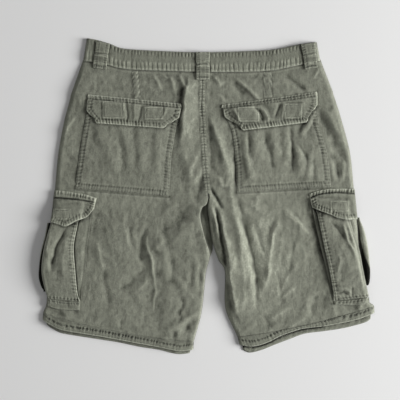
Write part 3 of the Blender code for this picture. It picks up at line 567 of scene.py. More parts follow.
def runsOf(plan):  # mm along each row from its first column, and down each column
    across = np.zeros(plan.shape[:2])
    down = np.zeros(plan.shape[:2])
    across[:, 1:] = np.linalg.norm(np.diff(plan[..., :2], axis=1), axis=2).cumsum(axis=1)
    down[1:] = np.linalg.norm(np.diff(plan[..., :2], axis=0), axis=2).cumsum(axis=0)
    return across, down


def edgeRuns(plan):  # mm from a grid's first and last column, and from its first and last row
    across, down = runsOf(plan)
    return across, across[:, -1:] - across, down, down[-1:] - down


def blurred(values, cells):
    reach = max(1, int(round(cells * 2)))
    weights = np.exp(-((np.arange(-reach, reach + 1) / cells) ** 2))
    weights /= weights.sum()
    for axis in (0, 1):
        pads = [(reach, reach) if k == axis else (0, 0) for k in (0, 1)]
        padded = np.pad(values, pads, mode="edge")
        size = values.shape[axis]
        values = sum(w * np.take(padded, range(k, k + size), axis=axis)
                     for k, w in enumerate(weights))
    return values


# Where a leg's cloth lies on the plan


def seamX(y):
    ys, xs = zip(*reversed(seamTable))
    return np.interp(y, ys, xs)


def waistEdges(x):  # the waistband's upper edge x, y and lower edge x, y
    table = np.array(waistTable, float)
    at = np.interp(np.ravel(x), table[:, 2], np.arange(len(table)))
    return [column.reshape(np.shape(x)) for column in throughRows(table, at).T]


def legRows(side, at):
    rows = throughRows(list(legSections[side].values()), at)
    edge = seamX(rows[:, 1]) + outward[side] * cloth["gap"] * 0.5
    rows[:, 0] += (edge - rows[:, 0]) * (at <= crotchRow)
    return rows


def sectionPlan(side, at, column):
    xIn, yIn, xPocketIn, xPocketOut, xOut, yOut, bow = legRows(side, at).T[:, :, None]
    width = xOut - xIn
    marks = (0, (xPocketIn - xIn) / width, (xPocketOut - xIn) / width, 1)
    share = sum((marks[k + 1] - marks[k]) * np.clip(column - k, 0, 1) for k in range(3))
    return planOf(xIn + width * share, yIn + (yOut - yIn) * share - bow * 4 * share * (1 - share))


def legPlan(side, at, column, tuck=3.0):  # places of a leg's back; its top goes under the band
    at = np.asarray(at, float)
    column = np.asarray(column, float)
    if column.ndim == 1:
        column = np.broadcast_to(column, (len(at), len(column)))
    plan = sectionPlan(side, at, column)
    top = sectionPlan(side, np.zeros(len(at)), column)
    lift = waistEdges(top[..., 0])[3] + tuck - top[..., 1]
    plan[..., 1] += lift * np.clip(1 - at, 0, 1)[:, None] ** 1.5
    return plan


def evenRows(side, first, last, cell):
    at = np.linspace(first, last, 900)
    inner, outer = legPlan(side, at, np.array([0.0, 3.0])).transpose(1, 0, 2)
    steps = sum(np.linalg.norm(np.diff(edge, axis=0), axis=1) for edge in (inner, outer)) / 2
    along = np.concatenate([[0], steps.cumsum()])
    return np.interp(np.linspace(0, along[-1], round(along[-1] / cell) + 1), along, at)


def legEdge(side):  # the outer edge from the waist down
    return legPlan(side, evenRows(side, 0, lastRow, 8), np.array([0.0, 3.0]))[:, 1]


# Materials


class Wire:  # a shader value that takes part in sums
    def __init__(self, tree, socket=None):
        self.tree, self.socket = tree, socket

    def node(self, kind, settings, values, out=0):  # any other node, fed by numbers or wires
        node = self.tree.nodes.new(kind)
        for key, value in settings.items():
            setattr(node, key, value)
        for key, value in values.items():
            if isinstance(value, Wire):
                self.tree.links.new(value.socket, node.inputs[key])
            else:
                node.inputs[key].default_value = value
        return Wire(self.tree, node.outputs[out])

    def feed(self, socket):
        self.tree.links.new(self.socket, socket)

    def sum(self, operation, *values):
        return self.node("ShaderNodeMath", {"operation": operation}, dict(enumerate(values)))

    def __add__(self, other):
        return self.sum("ADD", self, other)

    def __sub__(self, other):
        return self.sum("SUBTRACT", self, other)

    def __rsub__(self, other):
        return self.sum("SUBTRACT", other, self)

    def __mul__(self, other):
        return self.sum("MULTIPLY", self, other)

    __radd__, __rmul__ = __add__, __mul__


look = {
    "twill": (0.171, 0.178, 0.146),
    "trim": (0.162, 0.169, 0.138),
    "thread": (0.22, 0.23, 0.19),
    "horn": (0.08, 0.075, 0.06),
    "hornShades": (0.6, 1.6),         # how much darker and lighter its grain is
    "roughness": 0.92,
    "sheen": 0.15,
    "specular": 0.25,
    "wearShadeGain": 0.85,
    # what the colour is multiplied by, and between which values of wear and painted light and shade that
    # sets in
    "deep": (0.20, 0.20, 0.18),       # painted shade in hollows and gaps
    "pale": (1.75, 1.75, 1.70),       # worn places, and places painted lighter
    "paleRange": (-1.9, 1.5),
    "bare": (2.7, 2.7, 2.65),         # rubbed edges
    "bareRange": (1.1, 2.6),
    "slit": 0.35,                     # painted shadow in narrow gaps, darker still than the hollows
    "slitRange": (-2.2, -3.0),
    "twillLine": 1.3,                 # mm between the lines of the twill
    "weave": 0.35,                    # how much the threads vary the colour
    "bump": 0.00035,
}


def startMaterial(name, color, roughness):
    material = bpy.data.materials.new(name)
    material.use_nodes = True
    shader = material.node_tree.nodes["Principled BSDF"]
    shader.inputs["Base Color"].default_value = (*color, 1)
    shader.inputs["Roughness"].default_value = roughness
    return material, shader, Wire(material.node_tree)


def clothMaterial(name, color):
    material, shader, tree = startMaterial(name, color, look["roughness"])
    place = tree.node("ShaderNodeTexCoord", {}, {}, "Object")
    wearAndShade = tree.node("ShaderNodeAttribute", {"attribute_name": "wearAndShade"}, {}, "Fac")
    uv = tree.node("ShaderNodeUVMap", {"uv_map": "cloth"}, {})

    def noise(scale, detail, source=place, rough=0.6):
        return tree.node("ShaderNodeTexNoise", {}, {
            "Vector": source, "Scale": scale, "Detail": detail, "Roughness": rough}, "Fac")

    def tint(factors, share=1):
        return (*(c * k * share for c, k in zip(color, factors)), 1)

    def blend(value, limits, before, after):  # from one colour to another within the limits
        level = tree.node("ShaderNodeMapRange", {}, {
            "Value": value, "From Min": limits[0], "From Max": limits[1]})
        return tree.node("ShaderNodeMix", {"data_type": "RGBA"}, {0: level, 6: before, 7: after}, 2)

    stretched = tree.node("ShaderNodeMapping", {}, {
        "Vector": place, "Scale": (1.0, 0.45, 1.0), "Rotation": (0, 0, 0.25)})
    ridge = tree.sum("ABSOLUTE", noise(95, 2, stretched) - 0.5)
    creases = 0.12 - tree.sum("MINIMUM", ridge, 0.2)
    mottle = (noise(70, 3) - 0.5) * 0.42 + (noise(280, 2) - 0.5) * 1.3 + creases * 3.1
    streaks = (noise(18, 2) - 0.5) * 0.22
    # wear and painted light and shade from the attribute, with the cloth's own mottle and streaks
    wearShadeMottle = wearAndShade * look["wearShadeGain"] + mottle * 0.9 + streaks
    shade = blend(wearShadeMottle, look["paleRange"], tint(look["deep"]), tint(look["pale"]))
    shade = blend(wearShadeMottle, look["bareRange"], shade, tint(look["bare"]))
    shade = blend(wearAndShade, look["slitRange"], shade, tint(look["deep"], look["slit"]))
    weave = noise(1900, 2, uv, 0.7) + 0.5
    threads = tree.node("ShaderNodeCombineColor", {}, dict.fromkeys(("Red", "Green", "Blue"), weave))
    grain = tree.node("ShaderNodeMix", {"data_type": "RGBA", "blend_type": "MULTIPLY"}, {
        0: look["weave"], 6: shade, 7: threads}, 2)
    grain.feed(shader.inputs["Base Color"])

    across, down = (tree.node("ShaderNodeSeparateXYZ", {}, {"Vector": uv}, k) for k in (0, 1))
    slope = (across + down * 0.9) * (2000 * math.pi / look["twillLine"])
    twill = tree.sum("SINE", slope + noise(900, 1, uv) * 2.4)
    fuzz = noise(1200, 3, uv, 0.75)
    bump = tree.node("ShaderNodeBump", {}, {
        "Height": twill * 0.35 + fuzz * 1.3 + mottle * 1.5, "Strength": 0.8, "Distance": look["bump"]})
    bump.feed(shader.inputs["Normal"])
    shader.inputs["Sheen Weight"].default_value = look["sheen"]
    shader.inputs["Specular IOR Level"].default_value = look["specular"]
    return material


def hornMaterial(name, color):
    material, shader, tree = startMaterial(name, color, 0.45)
    place = tree.node("ShaderNodeTexCoord", {}, {}, "Object")
    grain = tree.node("ShaderNodeTexNoise", {}, {
        "Vector": place, "Scale": 260, "Detail": 4, "Distortion": 1.2}, "Fac")
    dark, light = ((*(c * k for c in color), 1) for k in look["hornShades"])
    shade = tree.node("ShaderNodeMix", {"data_type": "RGBA"}, {0: grain, 6: dark, 7: light}, 2)
    shade.feed(shader.inputs["Base Color"])
    rough = tree.node("ShaderNodeMapRange", {}, {"Value": grain, "To Min": 0.35, "To Max": 0.6})
    rough.feed(shader.inputs["Roughness"])
    return material


materials = {
    "washed_twill": clothMaterial("washed_twill", look["twill"]),
    "twill_trim": clothMaterial("twill_trim", look["trim"]),
    "sewing_thread": startMaterial("sewing_thread", look["thread"], 0.8)[0],
    "button": hornMaterial("button", look["horn"]),
}
print("materials made")


# Laying pieces of cloth

buttonAt = (-24, 256)      # the waist button's place in the tables
middle = sum((Vector(corner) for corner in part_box("waist_button")), Vector()) / 2
shift = np.array([middle.x * 1000 - buttonAt[0], middle.y * 1000 - buttonAt[1], 0])
rayFrom = 90               # a height above everything
pieces = []
laid = []                  # search trees of the upper surfaces of what lies there already


def topOf(plan):  # height of the highest thing at each place
    x, y = plan[..., 0].ravel(), plan[..., 1].ravel()
    best = np.zeros(len(x))
    for tree, low, high in laid:
        near = np.flatnonzero((x > low[0]) & (x < high[0]) & (y > low[1]) & (y < high[1]))
        for k in near:
            hit = tree.ray_cast(Vector((x[k], y[k], rayFrom)), Vector((0, 0, -1)))[0]
            if hit is not None and hit.z > best[k]:
                best[k] = hit.z
    return best.reshape(plan.shape[:-1])


def restOn(plan, cells):  # a smooth surface over whatever lies there
    top = topOf(plan)
    highest = top
    for axis in (0, 1):
        last = top.shape[axis] - 1
        places = np.arange(last + 1)
        highest = np.maximum.reduce([np.take(highest, np.clip(places + k, 0, last), axis=axis)
                                     for k in range(-cells, cells + 1)])
    return np.maximum(blurred(highest, max(1, cells * 0.6)), top)


def surfaceArea(points):
    facing = np.cross(points[1:, 1:] - points[:-1, :-1], points[1:, :-1] - points[:-1, 1:])
    return np.linalg.norm(facing, axis=2).sum() / 2


def withHeight(plan, height):
    return np.concatenate([plan, np.broadcast_to(height, plan.shape[:2])[..., None]], axis=2)


# Faded areas and patches of painted light and shade: middle, half width, half height, how much lighter
fadeAndShadeSpots = (
    ((-25, 149), 22, 90, 1.0),
    ((10, 240), 40, 16, 0.25),
    ((104, -102), 70, 105, 1.35),
    ((61, -124), 14, 60, 0.5),
    ((139, 69), 60, 55, 0.2),
    ((36, 60), 14, 50, 0.5),
    ((198, -64), 14, 80, -0.6),
    ((-150, -7), 50, 20, 0.3),
    ((-46, 183), 8, 44, -0.75),
    ((-51, -33), 34, 24, -0.7),
    ((207, 130), 18, 46, -0.8),
    ((180, 12), 14, 26, -0.5),
    ((27, 107), 10, 34, 0.4),
    ((-226, -83), 22, 60, 0.1),
    ((-260, 107), 16, 60, 0.5),
)


def fadeAndShadeAt(points):
    x, y = points[..., 0], points[..., 1]
    warp = 14 * softNoise(x, y, 60, seed=801)
    total = np.zeros(x.shape)
    for (spotX, spotY), halfWidth, halfHeight, amount in fadeAndShadeSpots:
        far = ((x + warp - spotX) / halfWidth) ** 2 + ((y + warp - spotY) / halfHeight) ** 2
        total += amount * np.exp(-far)
    return total


wearAndShadeForm = {
    "blur": 2.5,             # cells over which the cloth's own level is taken
    "ridge": 0.4,            # mm above that level for one step of lighter wear on crests; as far below it, one step of painted shade in hollows
    "ridges": (-2.2, 1.0),   # limits of what the ridges give
    "withSpots": (-2.2, 1.3),    # of ridges with the faded patches and the patches of painted light and shade
    "stored": (-3.0, 2.6),   # and of both with a piece's own lines
}


def addObject(name, data):
    thing = bpy.data.objects.new(name, data)
    bpy.context.scene.collection.objects.link(thing)
    return thing


def meshOf(bm, name):
    mesh = bpy.data.meshes.new(name)
    bm.to_mesh(mesh)
    bm.free()
    return mesh


def clothMesh(name, points, wearAndShade, across, down):  # one sheet without thickness
    rows, columns = points.shape[:2]
    bm = bmesh.new()
    bmesh.ops.create_grid(bm, x_segments=columns - 1, y_segments=rows - 1, size=1)
    mesh = meshOf(bm, name)
    places = np.empty(rows * columns * 3)
    mesh.vertices.foreach_get("co", places)
    row, column = (np.rint((places[k::3] + 1) / 2 * (count - 1)) for k, count in ((1, rows), (0, columns)))
    order = (row * columns + column).astype(int)
    flatPoints = points.reshape(-1, 3)[order]
    mesh.vertices.foreach_set("co", ((flatPoints + shift) * 0.001).ravel())
    corners = np.empty(len(mesh.loops), int)
    mesh.loops.foreach_get("vertex_index", corners)
    uvs = np.stack([across.ravel()[order][corners], down.ravel()[order][corners]], axis=1)
    mesh.uv_layers.new(name="cloth").data.foreach_set("uv", (uvs * 0.001).ravel())
    # wear and painted light and shade, stored on the points for the material
    values = np.clip(wearAndShade, *wearAndShadeForm["stored"]).ravel()[order]
    mesh.attributes.new("wearAndShade", "FLOAT", "POINT").data.foreach_set("value", values)
    mesh.shade_smooth()
    mesh.update()
    laid.append((BVHTree.FromPolygons(flatPoints.tolist(), corners.reshape(-1, 4).tolist()),
                 flatPoints.min(axis=0), flatPoints.max(axis=0)))
    return mesh


sheetLeast = {"length": 12, "filled": 0.31}     # mm, and the cloth's share of its rectangle


def makeCloth(name, points, thickness, slot, wearAndShade=0):
    across, down = runsOf(points)
    # crests painted lighter as worn, hollows painted darker as shade
    ridges = (points[..., 2] - blurred(points[..., 2], wearAndShadeForm["blur"])) / wearAndShadeForm["ridge"]
    ridges = np.clip(ridges, *wearAndShadeForm["ridges"])
    wearAndShade = np.clip(ridges + fadeAndShadeAt(points), *wearAndShadeForm["withSpots"]) + wearAndShade
    faceDown = np.cross(np.gradient(points, axis=1), np.gradient(points, axis=0))[..., 2].sum() < 0
    turned = slice(None, None, -1) if faceDown else slice(None)
    mesh = clothMesh(name, *(grid[turned] for grid in (points, wearAndShade, across, down)))
    mesh.materials.append(materials[slot])
    thing = addObject(f"{name}_cloth", mesh)
    shell = thing.modifiers.new("thickness", "SOLIDIFY")
    shell.thickness = thickness * 0.001
    shell.offset = -1
    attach(thing, "root")
    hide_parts(name)
    wide = across.max() * 0.001
    tall = max(down.max(), sheetLeast["length"]) * 0.001
    area = max(surfaceArea(points) * 1e-6, sheetLeast["filled"] * wide * tall)
    area = min(area, wide * tall)
    print(f"sheet {name}: {wide * 1000:.0f} x {tall * 1000:.0f} mm, {area * 1e4:.0f} cm2")
    pieces.append(thing)


# Seams. Their stitches are laid at the end, on the finished cloth

seams = []      # lines in plan


def sew(line):
    seams.append(np.array(line, float)[:, :2])


def lineAcross(plan, off):  # line down a grid, at a distance from its first column
    runs = runsOf(plan)[0]
    return np.array([[np.interp(off, run, row[:, k]) for k in (0, 1)]
                     for run, row in zip(runs, plan)])


def lineDown(plan, off):  # line across a grid, at a distance from its first row
    return lineAcross(plan.transpose(1, 0, 2), off)


def insetLine(points, off):  # an open line moved to its left, corners kept
    points = np.array(points, float)
    way = np.diff(points, axis=0)
    way /= np.linalg.norm(way, axis=1, keepdims=True)
    aside = np.stack([-way[:, 1], way[:, 0]], axis=1)
    line = [points[0] + off * aside[0]]
    for corner, a, b in zip(points[1:-1], aside[:-1], aside[1:]):
        line.append(corner + off * (a + b) / (1 + a @ b))
    return np.array(line + [points[-1] + off * aside[-1]])


def sewBoth(plan, offs, ends=slice(None)):  # along the first and last column of a grid
    for off in offs:
        sew(lineAcross(plan, off)[ends])
        sew(lineAcross(plan[:, ::-1], off)[ends])


# The front, which lies underneath

front = {
    "inset": 6.0,        # how far inside the rounded edge it ends
    "columns": 62,
    "tuck": -0.9,        # mm between its top and the waistband
    "halves": {"flap": (208, 10, -46), "bag": (214, -46.4, -198)},  # inner side, top, foot
    "halfGrid": (24, 18),
    "halfInset": 10,
    "halfThick": 1.4,
    "overHalves": (178, 42, -232),     # it lies higher over them: beyond x, between two y
    "overFly": (-82, 34, 44),          # over the placket: between two x, above y
    "overLoops": 190,                  # and over the belt loops, above y
    "bandLift": 2.8,
    "bandInset": 8,      # its waistband is shorter than the back's at each end
    "bandEdge": 0.8,     # and this much lower at its top, higher at its foot
    "bandGrid": (12, 60),
    "loop": 1.9,         # thickness of its belt loops
    "cell": 4.2,
    "crumple": 0.35,
    "seed": 71,
    # where the left front shows past the back between the legs: y, x
    "innerStrip": ((-4, 6), (-24, 4), (-45, 7), (-67, 11), (-83, 13), (-102, 12), (-114, 7),
                   (-124, 3), (-147, -4), (-200, -12), (-270, -27)),
}


def makeUnderHalves(side):
    edge = legEdge(side)
    rows, columns = front["halfGrid"]
    for name, (inside, top, foot) in front["halves"].items():
        y = np.linspace(top, foot, rows)[:, None]
        outside = np.interp(y, edge[::-1, 1], abs(edge[::-1, 0])) - front["halfInset"]
        x = outward[side] * (inside + (outside - inside) * np.linspace(0, 1, columns))
        plan = planOf(x, y)
        makeCloth(f"cargo_{name}_front_{side}", withHeight(plan, front["halfThick"]),
                  front["halfThick"], "washed_twill")


def frontLift(x, y):  # height of what the front lies on
    beyond, top, foot = front["overHalves"]
    flyLeft, flyRight, flyFoot = front["overFly"]
    lift = np.where((abs(x) > beyond) & (y < top) & (y > foot), front["halfThick"] + cloth["air"], 0.0)
    lift[(x > flyLeft) & (x < flyRight) & (y > flyFoot)] = cloth["layer"] + cloth["air"]
    lift[y > front["overLoops"]] = front["loop"] + cloth["air"]
    return np.maximum(blurred(lift, 2), lift)


def makeFront(side):
    at = evenRows(side, 0, lastRow, front["cell"])
    plan = legPlan(side, at, np.linspace(0, 3, front["columns"]), front["tuck"])
    outerInset = front["inset"] / np.linalg.norm(plan[:, -1] - plan[:, 0], axis=1)[:, None]
    innerInset = np.where((at <= crotchRow)[:, None], 0, outerInset)
    share = innerInset + np.linspace(0, 1, front["columns"]) * (1 - outerInset - innerInset)
    plan = plan[:, :1] + (plan[:, -1:] - plan[:, :1]) * share[..., None]
    if side == "left":
        ys, xs = np.array(front["innerStrip"]).T
        reach = np.interp(-plan[:, 0, 1], -ys, xs)
        push = np.where(at > crotchRow, np.maximum(reach - plan[:, 0, 0], 0), 0)[:, None]
        plan[..., 0] += push * (1 - share) ** 6
    x, y = plan[..., 0], plan[..., 1]
    height = frontLift(x, y) + cloth["layer"] + front["crumple"] * (crumple(x, y, front["seed"]) + 0.6)
    makeCloth(f"front_{side}", withHeight(plan, height), cloth["layer"], "washed_twill")
    return plan[-1]


hem = {
    "cells": {"front": 14, "back": 16},
    "frontThick": 0.75,      # the front's share of a double layer
    "rows": (10.5, 3.0),     # stitch lines above the lower edge
    "rise": (0.62, 0.25),
    "pitch": 6.2,
    "pucker": 1.0,           # how light the puckers of the upper line are
    "turn": 1.6,             # radius of the folded lower edge
    "crumple": 0.5,
    "seam": 0.5,             # ridge at its upper edge
    "lift": 1.0,             # how much higher than the leg the back's hem lies
    "under": {"left": 0.0, "right": -0.2},   # how much lighter the front's hem is painted; below zero, painted shade
    "rim": {"left": 1.6, "right": 0.9},      # and the back's lower edge
    "seed": {"front": 91, "left": 95, "right": 98},
}


def hemPlan(side, layer, topEdge, rows):
    stations = np.array(hemTable[side, layer], float)
    along = alongLine(topEdge)
    at = np.interp(along / along[-1],
                   abs(stations[:, 0] - stations[0, 0]) / abs(np.ptp(stations[:, 0])),
                   np.arange(len(stations)))
    low = throughRows(stations, at)
    way = (low - topEdge) / np.linalg.norm(low - topEdge, axis=1, keepdims=True)
    top = topEdge + way * cloth["gap"]
    return np.stack([top + (low - top) * t for t in np.linspace(0, 1, rows)])


def hemRelief(plan, seed):
    left, right, down, up = edgeRuns(plan)
    relief = sum(seamRelief(left, up, (row,), seed, hem["pitch"], rise, reach=2.8, groove=0.5)
                 for row, rise in zip(hem["rows"], hem["rise"]))
    relief += hem["crumple"] * crumple(plan[..., 0], plan[..., 1], seed + 2)
    relief *= smoothstep(0, 6, np.minimum(left, right))
    relief += hem["seam"] * smoothstep(2.2, 0.4, down)
    return relief - hem["turn"] * (1 - quarterRound(up, hem["turn"] * 1.2))


def backShade(side, plan):  # painted shadow line below the back's hem, on the front's hem
    off = nearestOn(hemTable[side, "back"], plan[..., 0], plan[..., 1])[1]
    dark = smoothstep(228, 210, plan[..., 0]) * 3.0 if side == "right" else 0.3
    return bell(abs(off), 1.4, 2.0) * (0.4 + dark)


def sewHem(plan):
    for row in hem["rows"]:
        sew(lineDown(plan[::-1], row))


def makeFrontHem(side, topEdge):
    plan = hemPlan(side, "front", topEdge, hem["cells"]["front"])
    up = edgeRuns(plan)[3]
    thick = cloth["double"] * hem["frontThick"]
    height = cloth["double"] + cloth["air"] + hemRelief(plan, hem["seed"]["front"])
    # worn lower edge, with the painted tone of hem under and the painted shadow below the back's hem
    wearAndShade = 1.4 * bell(up, 0.9, 1.5) + hem["under"][side] - 1.6 * backShade(side, plan)
    makeCloth(f"hem_front_{side}", withHeight(plan, np.maximum(height, thick + 0.1)), thick,
              "twill_trim", wearAndShade)
    sewHem(plan)


def makeBackHem(side, topEdge):
    plan = hemPlan(side, "back", topEdge, hem["cells"]["back"])
    left, right, down, up = edgeRuns(plan)
    seed = hem["seed"][side]
    height, curl = clothHeight(side, plan, left, right)
    points = withHeight(plan, height + (hemRelief(plan, seed) + hem["lift"]) * curl)
    pucker = seamRelief(left, up, hem["rows"][:1], seed, hem["pitch"], hem["pucker"], reach=3.2, groove=0)
    wearAndShade = 0.8 * np.minimum(pucker, 0.4) + hem["rim"][side] * bell(up, 1.0, 1.3)
    wearAndShade -= 0.6 * bell(down, 0, 1.6) + 1.2 * bell(up, 11.0, 1.8)
    makeCloth(f"hem_back_{side}", points, cloth["double"], "twill_trim", wearAndShade)
    sewHem(plan)


band = {
    "columns": 330,
    "pitch": (6.4, 8.2),     # mm between the gathers of the elastic above and below
    "rise": 0.7,             # height of a gather
    "middle": 0.06,          # their share between the two gathered strips
    "slit": 1.0,             # how dark the painted shade in the folds between them is
    "joins": (-142, -129, 116, 123),
    "roll": 2.2,             # radius of the upper edge
    "lowRoll": (1.2, 1.6),   # depth and width of the lower one
    "curl": 8,               # width of the rounding at its sides
    "thick": 0.8,            # share of the band's thickness that the back one has
    "rows": (15.5, 2.8),     # stitch lines below the upper edge
    "lowRow": 2.5,           # and above the lower one
}


def makeFrontBands():
    rows, columns = front["bandGrid"]
    t = np.linspace(0, 1, rows)[:, None]
    split = seamX(fly["top"])
    low, high = waistTable[0][2] + front["bandInset"], waistTable[-1][2] - front["bandInset"]
    for side, a, b in (("left", low, split - cloth["gap"]), ("right", split + cloth["gap"], high)):
        xTop, yTop, xLow, yLow = waistEdges(np.linspace(a, b, columns))
        top, foot = yTop - front["bandEdge"], yLow + front["bandEdge"]
        plan = planOf(xTop + (xLow - xTop) * t, top + (foot - top) * t)
        height = front["bandLift"] + cloth["band"] + 0.2 * crumple(plan[..., 0], plan[..., 1], seed=61)
        makeCloth(f"waistband_front_{side}", withHeight(plan, height), cloth["band"],
                  "twill_trim")


def loopShade(x, y):  # painted shadow lines beside the belt loops
    total = np.zeros(x.shape)
    for xTop, yTop, wideTop, xLow, yLow, wideLow in backLoopTable.values():
        share = (yTop - y) / (yTop - yLow)
        aside = abs(x - xTop - (xLow - xTop) * share) - (wideTop + (wideLow - wideTop) * share) / 2
        total += 1.8 * bell(aside, 0.8, 1.6) * (share > 0) * (share < 1.1)
    return total


def makeBackBand():
    xTop, yTop, xLow, yLow = waistEdges(np.linspace(waistTable[0][2], waistTable[-1][2], band["columns"]))
    t = np.concatenate([[0, 0.012, 0.03], np.linspace(0.055, 1, 29)])[:, None]
    plan = planOf(xTop + (xLow - xTop) * t, yTop + (yLow - yTop) * t)
    left, right, down, up = edgeRuns(plan)
    ends = np.minimum(left, right)
    x, y = plan[..., 0], plan[..., 1]

    # gathers, in one strip along the upper edge and one along the lower
    wobble = 0.5 * softNoise(left, down * 0.5, 25, seed=5)
    upper, lower = (1 - np.exp(-((abs((x / pitch + wobble * k) % 1 - 0.5) * pitch) ** 2))
                    for pitch, k in zip(band["pitch"], (0.7, 1.0)))
    uneven = 1 + 0.7 * softNoise(left, down, 17, seed=7)
    inUpper = smoothstep(0.5, 2.5, down) * smoothstep(12, 7, down)
    inLower = smoothstep(20, 26, down) * smoothstep(0, 2.5, up)
    between = band["middle"] * (1 - inUpper) * (1 - inLower) * smoothstep(1, 5, down)
    ribs = upper * inUpper + lower * inLower + (upper + lower) * between
    relief = (band["rise"] * ribs * uneven + 0.25 * crumple(x, y, seed=63)) * smoothstep(0, 4, ends)

    height = lie["bandLift"] + cloth["band"] + relief
    height -= band["roll"] * (1 - quarterRound(down, band["roll"]))
    height -= band["lowRoll"][0] * (1 - quarterRound(up, band["lowRoll"][1]))
    height = lie["edgeFloor"] + (height - lie["edgeFloor"]) * quarterRound(ends, band["curl"])
    # painted shade in the slits between the gathers
    slits = (1 - upper) * inUpper * 1.3 + (1 - lower) * inLower + 0.25 * (1 - upper) * (1 - inUpper)
    wearAndShade = 0.5 * bell(up, 0.9, 1.5) - 0.3 * smoothstep(14, 4, down)
    wearAndShade += band["slit"] * (0.25 - slits * uneven)
    wearAndShade -= 1.2 * bell(down, 2.6, 0.9) * (1 - inLower)
    wearAndShade += 0.8 * lower * bell(up, 3.4, 1.4) + 0.7 * lower * bell(up, 12, 5)
    wearAndShade -= sum(1.3 * bell(x, join, 1.0) for join in band["joins"])
    wearAndShade -= loopShade(x, y)
    makeCloth("waistband_back", withHeight(plan, height), cloth["band"] * band["thick"], "twill_trim",
              wearAndShade)
    for row in band["rows"]:
        sew(lineDown(plan, row)[6:-6])
    sew(lineDown(plan[::-1], band["lowRow"])[6:-6])


fly = {"top": 232, "width": 38, "narrowest": 1.5, "length": 160, "round": 34, "row": 6}


def makeFly():
    foot = fly["top"] - fly["length"]
    y = np.linspace(fly["top"], foot, 60)[:, None]
    side = seamX(foot) - 0.5 + (seamX(fly["top"]) - seamX(foot)) * (y - foot) / fly["length"]
    width = np.maximum(fly["width"] * quarterRound(y - foot, fly["round"]), fly["narrowest"])
    x = side - width * np.linspace(0, 1, 14)
    plan = planOf(x, y)
    makeCloth("fly_placket", withHeight(plan, cloth["layer"]), cloth["layer"], "washed_twill")
    sew(lineAcross(plan[:, ::-1], fly["row"])[:-8])


button = {
    # shares of the radius
    "rim": 0.2,          # width of the raised rim
    "slope": 0.06,       # and of its inner side
    "hole": 0.1,         # radius of a hole
    "holesOut": 0.19,
    # shares of the thickness
    "sunk": 0.22,        # depth of the middle
    "bevel": 0.16,
    "segments": 48,
    "holeSegments": 16,
    "sharpFrom": 35,     # degrees
}


def makeButton():
    low, high = (Vector(corner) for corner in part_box("waist_button"))
    place, radius, thick = (low + high) / 2, (high.x - low.x) / 2, high.z - low.z
    bm = bmesh.new()
    bmesh.ops.create_cone(bm, cap_ends=True, segments=button["segments"], radius1=radius,
                          radius2=radius, depth=thick)
    caps = [f for f in bm.faces if abs(f.normal.z) > 0.9]
    bmesh.ops.bevel(bm, geom=[e for f in caps for e in f.edges], offset=thick * button["bevel"],
                    segments=3, affect="EDGES", profile=0.5, material=-1)
    caps = [f for f in bm.faces if len(f.verts) > 8]
    bmesh.ops.inset_individual(bm, faces=caps, thickness=radius * button["rim"])
    bmesh.ops.inset_individual(bm, faces=caps, thickness=radius * button["slope"],
                               depth=-thick * button["sunk"])
    bmesh.ops.translate(bm, verts=bm.verts, vec=place)
    thing = addObject("waist_button_made", meshOf(bm, "waist_button_made"))
    bm = bmesh.new()
    out, hole = radius * button["holesOut"], radius * button["hole"]
    for x, y in ((out, out), (-out, out), (-out, -out), (out, -out)):
        bmesh.ops.create_cone(bm, cap_ends=True, segments=button["holeSegments"], radius1=hole,
                              radius2=hole, depth=thick * 3,
                              matrix=Matrix.Translation(place + Vector((x, y, 0))))
    cutter = addObject("drill", meshOf(bm, "drill"))
    cut = thing.modifiers.new("holes", "BOOLEAN")
    cut.object = cutter
    shapes = bpy.context.evaluated_depsgraph_get()
    thing.data = bpy.data.meshes.new_from_object(thing.evaluated_get(shapes))
    thing.modifiers.clear()
    bpy.data.objects.remove(cutter)
    thing.data.materials.clear()
    thing.data.materials.append(materials["button"])
    thing.data.shade_smooth()
    thing.data.set_sharp_from_angle(angle=math.radians(button["sharpFrom"]))
    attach(thing, "root")
    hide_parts("waist_button")
    pieces.append(thing)


# The back, its pockets and flaps

back = {
    "inner": 26,             # cells between the centre seam and the pocket
    "pocket": 84,            # across the pocket
    "outer": 25,             # and from there to the side seam
    "crumple": 0.74,         # height of the small creases
    "edgeShadow": 1.3,             # painted shadow line beside the pockets
    "seamWidth": 4.8,        # half width of the felled centre seam
    "seamRise": 0.8,
    "seamRows": (0.6, 3.9),
    "sideRow": (9, 18),      # stitches off the side seam, above this y
    "darts": {"left": ((-137, 238), (-134, 212), (-132, 188)),
              "right": ((115, 236), (115, 212), (117, 188))},
    "dartWidth": {"left": 4.8, "right": 7.2},
    "dartRise": 0.9,
    "dartRow": 1.8,          # stitches inside its edge
    "least": 0.6,            # lowest that its upper surface comes
    "seed": {"left": 21, "right": 51},
}
spread = np.concatenate([
    np.linspace(0, 1, back["inner"]) ** 1.3,
    1 + np.linspace(0, 1, back["pocket"])[1:],
    3 - (1 - np.linspace(0, 1, back["outer"])[1:]) ** 1.5,
])
firstPocket = back["inner"] - 1
lastPocket = firstPocket + back["pocket"] - 1


